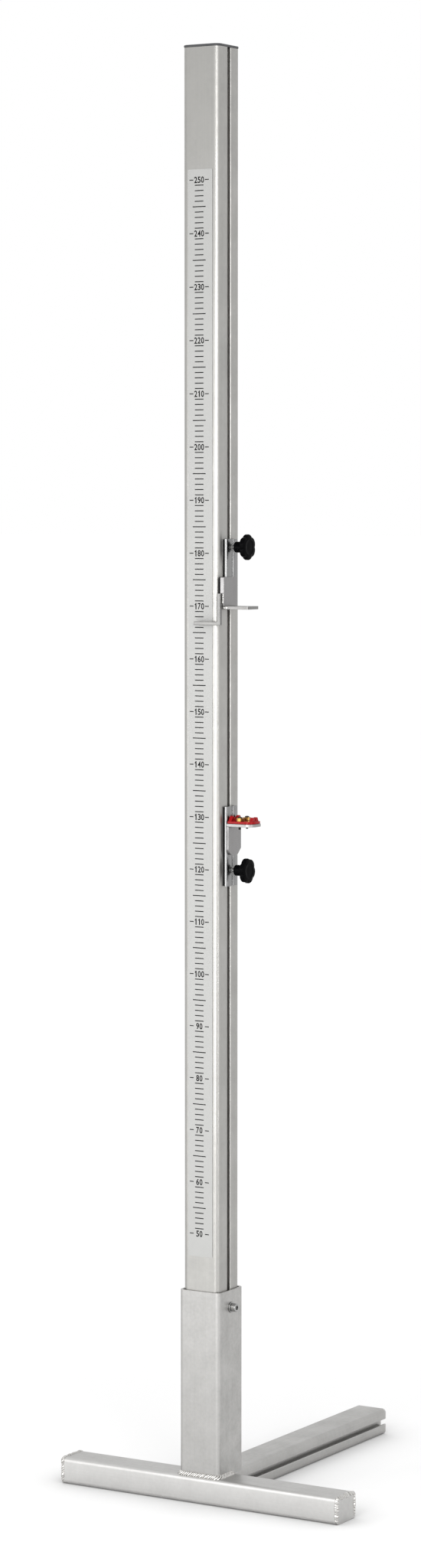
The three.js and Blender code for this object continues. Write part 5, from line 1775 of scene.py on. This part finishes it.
@dataclass(frozen=True)
class SoftBox:
    """Large soft lamp that faces the post from its own height."""

    name: str
    place: tuple[float, float, float]
    width: float
    height: float
    radiance: float

    def build(self) -> None:
        """Hangs the lamp. Its power is pi times its area times its radiance."""
        data = bpy.data.lights.new(self.name, "AREA")
        data.shape = "RECTANGLE"
        data.size, data.size_y = self.width, self.height
        data.energy = math.pi * self.width * self.height * self.radiance
        lamp = bpy.data.objects.new(self.name, data)
        bpy.context.scene.collection.objects.link(lamp)
        lamp.location = self.place
        lamp.rotation_euler = (math.pi / 2.0, 0.0, math.atan2(self.place[0], -self.place[1]))
        lamp.visible_camera = False


@dataclass
class Studio:
    """Pale floor, soft lamps, white backdrop and the camera of the photograph."""

    floor_size: float = 400.0
    floor_colour: Colour = (0.78, 0.78, 0.78)
    corner_colour: Colour = (0.34, 0.34, 0.34)
    corner_reach: float = 0.15
    lamp_foot: tuple[float, float, float] = (0.3, -1.6, 0.0)
    near: float = 1.0
    far: float = 4.5
    far_lift: float = 0.24
    behind_lamps: tuple[float, float] = (-1.9, -2.7)
    sky: float = 1.0
    camera_place: tuple[float, float, float] = (3.877, -6.390, 1.914)
    yaw: float = 31.257
    pitch: float = 4.068
    focal_pixels: float = 5133.6
    image_height: int = 2048
    sensor: float = 36.0
    clip_end: float = 600.0

    def build(self) -> None:
        """Sets the stage."""
        self.floor()
        self.world()
        for lamp in (
                SoftBox("low_lamp", (-1.34, -2.23, 0.3), 1.8, 0.45, 1.9),
                SoftBox("left_lamp", (-1.26, -2.27, 1.65), 0.7, 1.25, 3.4),
                SoftBox("front_lamp", (0.54, -2.54, 1.25), 1.15, 1.9, 5.0),
                SoftBox("side_lamp", (2.5, -3.12, 2.45), 1.7, 1.4, 7.0),
                SoftBox("edge_lamp", (2.8, -1.07, 0.75), 0.35, 1.4, 5.0)):
            lamp.build()
        self.camera()

    def floor(self) -> None:
        """Matt floor with a painted contact shadow: an ambient occlusion node darkens its colour near the
        standard.

        Camera, glossy and transmitted rays see it whiter behind the lamps and the further it lies from
        them, so that it stays white up to the backdrop while its shadows are kept.
        """
        half = self.floor_size / 2.0
        corners = [(-half, -half, 0.0), (half, -half, 0.0), (half, half, 0.0), (-half, half, 0.0)]
        mesh = bpy.data.meshes.new("studio_floor")
        mesh.from_pydata(corners, [], [(0, 1, 2, 3)])
        floor = bpy.data.objects.new("studio_floor", mesh)
        bpy.context.scene.collection.objects.link(floor)
        material = bpy.data.materials.new("studio_floor")
        mesh.materials.append(material)
        graph = Graph(material)
        # Painted shadow: the floor colour turns darker where ambient occlusion finds the standard close by.
        open_share = graph.add("ShaderNodeAmbientOcclusion", Distance=self.corner_reach).outputs["AO"]
        tone = graph.blend(open_share, self.corner_colour, self.floor_colour)
        matt = graph.add("ShaderNodeBsdfDiffuse", Color=tone)
        place = graph.add("ShaderNodeTexCoord").outputs["Object"]
        distance = graph.add("ShaderNodeVectorMath", operation="DISTANCE")
        graph.put(place, distance.inputs[0])
        graph.put(self.lamp_foot, distance.inputs[1])
        spread = graph.ranged(distance.outputs["Value"], 0.0, self.far_lift, self.near, self.far)
        depth = graph.add("ShaderNodeSeparateXYZ", Vector=place).outputs["Y"]
        lift = graph.math("MAXIMUM", spread, graph.ranged(depth, 0.0, self.far_lift, *self.behind_lamps))
        glow = graph.add("ShaderNodeEmission", Strength=graph.math("MULTIPLY", graph.seen_rays(), lift))
        both = graph.add("ShaderNodeAddShader")
        for node, target in ((matt, both.inputs[0]), (glow, both.inputs[1]), (both, graph.surface)):
            graph.put(node.outputs[0], target)

    def world(self) -> None:
        """Even white sky, which lights the standard and is the backdrop too."""
        world = bpy.data.worlds.new("studio_sky")
        bpy.context.scene.world = world
        graph = Graph(world, "ShaderNodeOutputWorld")
        sky = graph.add("ShaderNodeBackground", Color=(1.0, 1.0, 1.0, 1.0), Strength=self.sky)
        graph.put(sky.outputs[0], graph.surface)

    def camera(self) -> None:
        """Camera at the photograph's place, angle and focal length."""
        data = bpy.data.cameras.new("photo_camera")
        data.sensor_fit = "AUTO"
        data.sensor_width = self.sensor
        data.lens = self.focal_pixels / self.image_height * self.sensor
        data.clip_end = self.clip_end
        camera = bpy.data.objects.new("photo_camera", data)
        camera.location = self.camera_place
        camera.rotation_euler = (math.radians(90.0 - self.pitch), 0.0, math.radians(self.yaw))
        bpy.context.scene.collection.objects.link(camera)
        bpy.context.scene.camera = camera


def main() -> None:
    """Builds the standard from the floor up, then the studio."""
    standard = Standard()
    Base(standard).build()
    SleeveAndClamp(standard).build()
    Post(standard).build()
    HeightScale(standard).build()
    CrossbarSupport(standard).build()
    CordClamp(standard).build()
    Studio().build()
    bpy.context.scene.view_settings.view_transform = "Standard"
    LOG.info("%d new pieces", len(standard.pieces))


if __name__ == "__main__":
    main()
